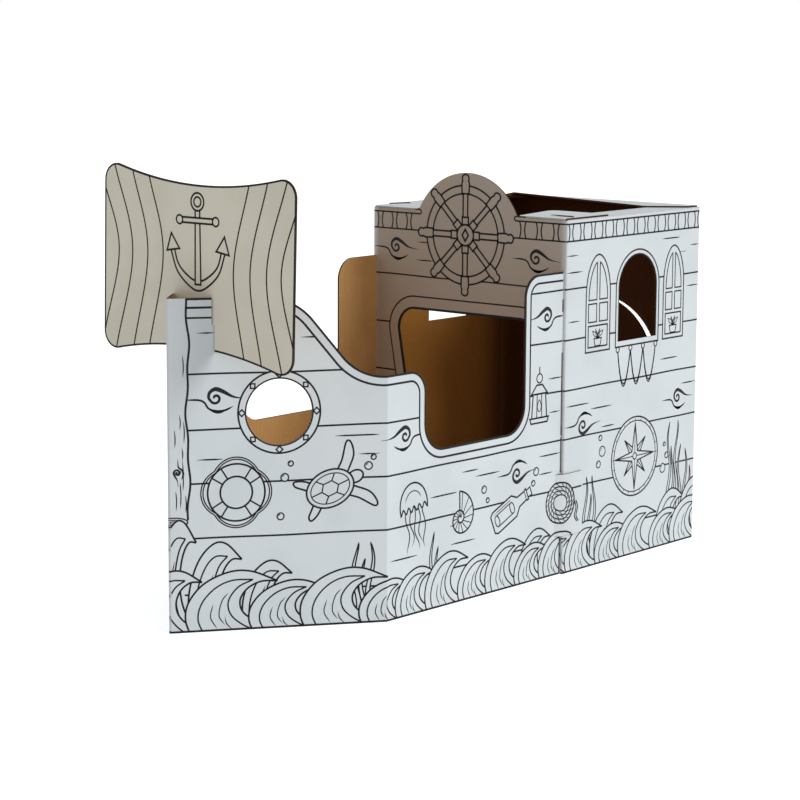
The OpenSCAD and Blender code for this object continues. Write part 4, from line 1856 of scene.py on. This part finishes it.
@dataclass
class BowSheet(Board):
    """Bow: two panels that meet at the prow and the low side walls with their notches.

    Folds are given as their length and turn, the sheer's two bends as their place on the
    bow panel and radius, and the notch as its start and end on the side wall and its foot.
    """

    node: ClassVar[str] = "bow_wrap"
    centre: ClassVar[Pair] = (-0.15, 0.0)
    prow_x: float = -831.0
    prow_fold: Pair = (5.184, 54.01)
    panel_len: float = 501.16
    side_fold: Pair = (3.379, 35.2)
    side_len: float = 656.56
    top_z: float = 768.0
    waist_z: float = 579.0
    sheer: tuple[Pair, Pair] = ((284.1, 148), (437.1, 128))
    notch: Triple = (132, 505, 385)
    notch_r: Pair = (54, 66)
    trim_in: float = 21.5
    lip_in: float = 2.0
    porthole: Pair = (250.0, 504.0)
    flap_step: float = 22.0
    flap_corner: Pair = (234.5, -321.5)
    flap_len: float = 79.5
    flap_z: Pair = (100.0, 258.0)
    flap_fold: float = 0.3
    post_z: float = 262.0

    def starts(self) -> tuple[float, float, float]:
        """Lengths at which the bow panel and the side wall start and the side wall ends.

        Returns:
            The three lengths in millimetres.
        """
        panel = self.prow_fold[0]
        side = panel + self.panel_len + self.side_fold[0]
        return panel, side, side + self.side_len

    def path(self, side: Side) -> FoldedPath:
        """Printed face from the prow to the end of a side wall.

        Args:
            side: side of the ship.

        Returns:
            The path, in millimetres.
        """
        folds = Run(*self.prow_fold), Run(*self.side_fold)
        runs = (folds[0], Run(self.panel_len), folds[1], Run(self.side_len))
        return FoldedPath((self.prow_x, 0.0), -90, runs, side)

    def flap_path(self, side: Side) -> FoldedPath:
        """Path that leaves the side wall for the flap outside on the cabin's wall.

        Args:
            side: side of the ship.

        Returns:
            The path, in millimetres.
        """
        whole = self.path(side)
        plan, out = whole.at(np.array([self.starts()[2] - self.flap_step]))
        step = np.array(self.flap_corner) - (plan[0] - 0.25 * out[0])
        heading = math.degrees(math.atan2(step[1], step[0]))
        before = whole.heading + sum(run.turn for run in whole.runs)
        runs = (
            *whole.runs[:3],
            Run(self.side_len - self.flap_step),
            Run(self.flap_fold, heading - before),
            Run(float(np.linalg.norm(step)) - self.flap_fold),
            Run(self.flap_fold, -heading),
            Run(self.flap_len),
        )
        return FoldedPath(whole.start, whole.heading, runs, side)

    def rim(self) -> Array:
        """Cut edge of the top from the prow over the sheer and through the notch.

        Returns:
            (n, 2) array of points.
        """
        (u, v, _), top, waist = self.starts(), self.top_z, self.waist_z
        (high, r_high), (low, r_low) = self.sheer
        (start, end, foot), (r_edge, r_foot) = self.notch, self.notch_r
        return rounded(
            [
                (u + 30, top, 0), (u + high, top, r_high), (u + low, waist, r_low),
                (v + start, waist, r_edge), (v + start, foot, r_foot), (v + end, foot, r_foot),
                (v + end, top, r_edge), (v + 660, top, 0),
            ]
        )

    def post(self, art: Drawing) -> None:
        """Trunk at the prow: its wavy edge, end grain, bark lines and a knot.

        Args:
            art: the bow's drawing.
        """
        u, foot, top = self.prow_fold[0], self.post_z, self.top_z
        z = np.linspace(foot, top, 60)
        edge = np.column_stack([u + 40 + 3.2 * np.sin(z / 46) + 2 * np.sin(z / 17), z])
        art.cover(np.vstack([[(-9, top), (-9, foot), (u + 20, foot - 12), (u + 40, foot)], edge]))
        art.line(edge, 1.15)
        log = (u + 6, foot - 4)
        art.line(ring(log, 32, 180, 360, 0.33), 0.9)
        art.line(ring(log, 32, 0, 180, 0.33), 0.7)
        for radius in (18, 8):
            art.line(ring(log, radius, squash=0.33), 0.5, closed=True)
        for x, low, high in (
            (30, 590, 640), (31, 440, 490), (22, 470, 505), (10, 430, 470), (28, 330, 400),
            (12, 285, 330), (22, 290, 350), (34, 280, 320), (27, 400, 430),
        ):
            bark = [(u + x, low), (u + x + 1.2, (low + high) / 2), (u + x - 0.6, high)]
            art.line(spline(bark), 0.6, taper=(10, 10))
        knot(art.at((u + 16, 372), 0.42, 90, flip=True))

    def finds(self, art: Drawing) -> None:
        """Knots, the porthole's frame and the sea finds between the planks.

        Args:
            art: the bow's drawing.
        """
        u, v, end = self.starts()
        knot(art.at((u + 104, 540)))
        knot(art.at((v + 60, 431), flip=True))
        knot(art.at((v + 592, 661), flip=True))
        knot(art.at((v + 480, 283), turn=180, flip=True))
        porthole_ring(art, (u + self.porthole[0], self.porthole[1]))
        life_ring(art, (u + 150, 322), 66)
        turtle(art.at((u + 368, 322), 1.25, 24))
        bubbles(art, (262, 352, 9), (276, 384, 6), (470, 392, 6), start=u)
        bubbles(art, (458, 372, 9), (252, 262, 8), start=u)
        jellyfish(art.at((v + 92, 262), 1.25, 8))
        snail_shell(art.at((v + 262, 205), 1.45, 20))
        bottle(art.at((v + 452, 196), 1.35, 24))
        bubbles(art, (352, 262, 9), (366, 234, 6), (545, 250, 7), (556, 278, 10), start=v)
        lantern(art.at((v + 565, 442), 1.25))
        rope_coil(art, (end - 6, 186), 52)
        seaweed(art, u + 455, 190, 3)
        seaweed(art, v + 178, 185, 2)

    def drawing(self) -> Drawing:
        """Whole print of one side of the bow, which runs on over the flap.

        Returns:
            The drawing.
        """
        art = Drawing(4.3)
        u, v, end = self.starts()
        planks(art, u + 30, end + 110)
        grain(art, (62, 105, 689), (300, 352, 674), (380, 484, 444), (435, 484, 400), start=u)
        grain(
            art,
            (268, 330, 316), (320, 412, 299), (566, 655, 313), (566, 622, 268), (150, 250, 271),
            (225, 290, 191), (228, 320, 146), (10, 105, 141), (600, 655, 505), (605, 650, 420),
            start=v,
        )
        grain(art, (60, 120, 400), (150, 230, 120), start=u)
        self.finds(art)
        trim, lip = offset(self.rim(), self.trim_in), offset(self.rim(), self.lip_in)
        beyond = 2 * self.top_z
        art.cover(np.vstack([trim, [(end + 10, beyond), (u, beyond)]]))
        art.line(trim, 1.15)
        art.line(lip, 1.2)
        self.post(art)
        sea(art, (-24, 96, 262), (52, 128, 208), (176, 120, 160), (1010, 130, 132))
        sea(art, (-60, 150, 146), (52, 220, 140), (196, 190, 112), (318, 215, 134))
        sea(art, (452, 150, 100), (548, 150, 112), (655, 165, 130), (775, 150, 104))
        sea(art, (880, 165, 124), (992, 140, 98), (1090, 150, 112), (1200, 150, 100))
        # The line along the foot is print that also serves as painted contact shadow.
        art.line([(0, FOOT_Z), (end + 110, FOOT_Z)], 1.1)
        # Painted shadow: broken upright lines at the end of the side wall stand for the shadow in
        # the gap to the cabin's wall.
        for low, high in ((3, 98), (262, 352), (356, 566), (668, 700)):
            art.line([(end - 2.2, low), (end - 2.2, high)], 0.75)
        art.cut(lambda p: (p[:, 0] >= 0) & (p[:, 1] > FOOT_Z - 1))
        return art

    def prints(self) -> list[bpy.types.Object]:
        """Prints both sides and their outer flaps.

        Returns:
            The printed pieces.
        """
        board, end = self.tree(), self.starts()[2]
        root, tip = end - self.flap_step, end + self.flap_len - 3
        low, high = self.flap_z
        pieces = []
        for side in Side:
            wall, flap = self.drawing(), self.drawing()
            wall.cut(lambda p: p[:, 0] < end - 1)
            wall.cut(lambda p: (p[:, 0] <= root) | (p[:, 1] <= low) | (p[:, 1] >= high))
            flap.cut(lambda p: (p[:, 0] > root) & (p[:, 0] < tip))
            flap.cut(lambda p: (p[:, 1] > low + 1.5) & (p[:, 1] < high - 1.5))
            for name, path, art in (
                ("bow_print", self.path(side), wall),
                ("flap_print", self.flap_path(side), flap),
            ):
                name = f"{name}_{side.name.lower()}"
                pieces.append(Printer(path, board).print(name, art, self.ink))
        return pieces


@dataclass
class FlagSheet(Board):
    """Flag: a sheet that bows in above and below, halved over the two bow panels."""

    node: ClassVar[str] = "flag"
    slot: ClassVar[str] = "flag_board"
    x: float = -748.0
    middle: Pair = (12.0, 834.0)
    lean: float = -1.5
    width: float = 600.0
    edge_r: float = 1080.4
    edge_z: float = 1264.9
    corner: Pair = (261.0, 175.3)
    corner_r: float = 40.0

    def printed(self, normal: Array, middle: Array) -> Array:
        """True for the face towards the prow."""
        return normal[:, 0] < 0

    def outline(self, inset: float) -> Array:
        """Closed outline inside the cut edge: four round corners and two long hollow arcs.

        Args:
            inset: distance from the cut edge.

        Returns:
            (n, 2) array of points.
        """
        x, z = self.corner
        angle = math.degrees(math.atan2(self.edge_z - z, x))
        right = ring((x, z), self.corner_r - inset, 0, 180 - angle)
        hollow = ring((0, self.edge_z), self.edge_r + inset, -angle, angle - 180)
        left = ring((-x, z), self.corner_r - inset, angle, 180)
        top = np.vstack([right, hollow, left])
        return moved(np.vstack([top, -top]), self.middle, 1, self.lean)

    def drawing(self) -> Drawing:
        """Border, four curved stripes on each side and an anchor.

        Returns:
            The drawing.
        """
        art = Drawing(3.9)
        stripes = (
            [(-290, 1020), (-240, 860), (-290, 670)],
            [(-253, 1060), (-195, 860), (-253, 630)],
            [(-193, 1048), (-145, 860), (-195, 636)],
            [(-140, 1040), (-95, 860), (-143, 642)],
            [(328, 1000), (272, 830), (313, 650)],
            [(293, 1045), (228, 830), (275, 604)],
            [(233, 1034), (178, 830), (213, 616)],
            [(178, 1031), (127, 830), (160, 624)],
        )
        art.lines(*map(spline, stripes))
        border = self.outline(2.2)
        art.cut(lambda p: inside(border, p))
        art.line(border, 1.15, closed=True)
        anchor(art.at((16, 872)))
        return art

    def prints(self) -> list[bpy.types.Object]:
        """Prints the face towards the prow."""
        path = FoldedPath((self.x, 0.0), -90, (Run(self.width),))
        return [Printer(path, self.tree()).print("flag_print", self.drawing(), self.ink)]


@dataclass(frozen=True)
class Studio:
    """Pale floor, soft light and the camera; angles are in degrees."""

    eye: Triple = (-4.5702, -3.8532, 1.3957)
    yaw: float = 49.7116
    pitch: float = 9.0761
    roll: float = 0.2865
    lens: float = 108.55
    floor_size: float = 30.0
    sun_from: Triple = (0.286, -0.814, 0.5)
    sun_strength: float = 1.46
    sun_width: float = 24.0
    sky: float = 0.54

    def camera(self) -> None:
        """Sets the camera: forward (sin y cos p, cos y cos p, -sin p), rolled about it."""
        y, p, r = (math.radians(a) for a in (self.yaw, self.pitch, self.roll))
        ahead = Vector((math.sin(y) * math.cos(p), math.cos(y) * math.cos(p), -math.sin(p)))
        level = Vector((math.cos(y), -math.sin(y), 0))
        over = level.cross(ahead)
        right = level * math.cos(r) + over * math.sin(r)
        up = over * math.cos(r) - level * math.sin(r)
        data = bpy.data.cameras.new("camera")
        data.lens, data.sensor_width, data.clip_end = self.lens, 36.0, 200.0
        camera = bpy.data.objects.new("camera", data)
        turn = Matrix((right, up, -ahead)).transposed()
        camera.matrix_world = Matrix.Translation(self.eye) @ turn.to_4x4()
        bpy.context.scene.collection.objects.link(camera)
        bpy.context.scene.camera = camera

    def lights(self) -> None:
        """Adds the wide soft sun and the pale sky, which is white to the camera."""
        data = bpy.data.lights.new("window_light", "SUN")
        data.energy, data.angle = self.sun_strength, math.radians(self.sun_width)
        sun = bpy.data.objects.new("window_light", data)
        sun.rotation_euler = Vector(self.sun_from).to_track_quat("Z", "Y").to_euler()
        bpy.context.scene.collection.objects.link(sun)
        g = Graph(bpy.data.worlds.new("sky"))
        eye = g.make("LightPath", output="Is Camera Ray")
        level = g.make("MapRange", inputs={"Value": eye, "To Min": self.sky, "To Max": 1.0})
        shader = g.make("Background", inputs={"Color": WHITE, "Strength": level})
        g.make("OutputWorld", inputs={"Surface": shader})
        bpy.context.scene.world = g.owner

    def floor(self, finish: bpy.types.Material) -> None:
        """Lays the floor.

        Args:
            finish: its material.
        """
        half = self.floor_size / 2
        corners = [(x, y, 0) for x, y in box((-half, -half), (half, half))]
        data = bpy.data.meshes.new("floor")
        data.from_pydata(corners, [], [(0, 1, 2, 3)])
        data.materials.append(finish)
        floor = bpy.data.objects.new("floor", data)
        bpy.context.scene.collection.objects.link(floor)

    def build(self) -> None:
        """Builds the studio."""
        self.floor(FloorFinish("studio_floor").material())
        self.lights()
        self.camera()
        bpy.context.scene.view_settings.view_transform = "Standard"


def main() -> None:
    logging.basicConfig(level=logging.INFO, format="%(name)s: %(message)s")
    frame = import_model()
    Studio().build()
    white, smudge = shade_of(222, 229, 232), shade_of(210, 218, 222)
    brown, fleck = shade_of(226, 177, 115), shade_of(176, 128, 75)
    # The second pair of colours here is painted shade inside the cabin: the first behind the front
    # wall, the second towards the stern.
    indoor_shade_amber, shadow = shade_of(198, 138, 64), shade_of(84, 48, 20)
    # The third colour is the front wall's painted shade: a taupe that stands in for shade and brown
    # bounce light on white board.
    paper = LinerFinish("white_liner_painted_shade", white, smudge, shade_of(166, 143, 118)).material()
    hull = LinerFinish("hull_liner", white, smudge).material()
    # The flag's beige tint is painted light: warm bounce light on its shaded face towards the prow,
    # on white board.
    flag_warm_bounce = LinerFinish("flag_liner_painted_bounce", shade_of(236, 231, 214), shade_of(222, 217, 199)).material()
    kraft = KraftFinish("kraft_liner", brown, fleck).material()
    shaded_indoors = KraftFinish("cabin_liner_painted_shade", brown, fleck, indoor_shade_amber, shadow).material()
    edge = CutFinish("cut_edge", shade_of(122, 88, 52), shade_of(36, 24, 14)).material()
    ink = InkFinish("black_ink", shade_of(12, 13, 15), shade_of(34, 36, 38)).material()
    nodes = frame["nodes"]
    for sheet in (
        CabinSheet(nodes["cabin_wrap"], (paper, shaded_indoors, edge), ink),
        BowSheet(nodes["bow_wrap"], (hull, kraft, edge), ink),
        FlagSheet(nodes["flag"], (flag_warm_bounce, kraft, edge), ink),
    ):
        for piece in (sheet.build(), *sheet.prints()):
            LOG.info("%s: %d faces", piece.name, len(piece.data.polygons))


if __name__ == "__main__":
    main()
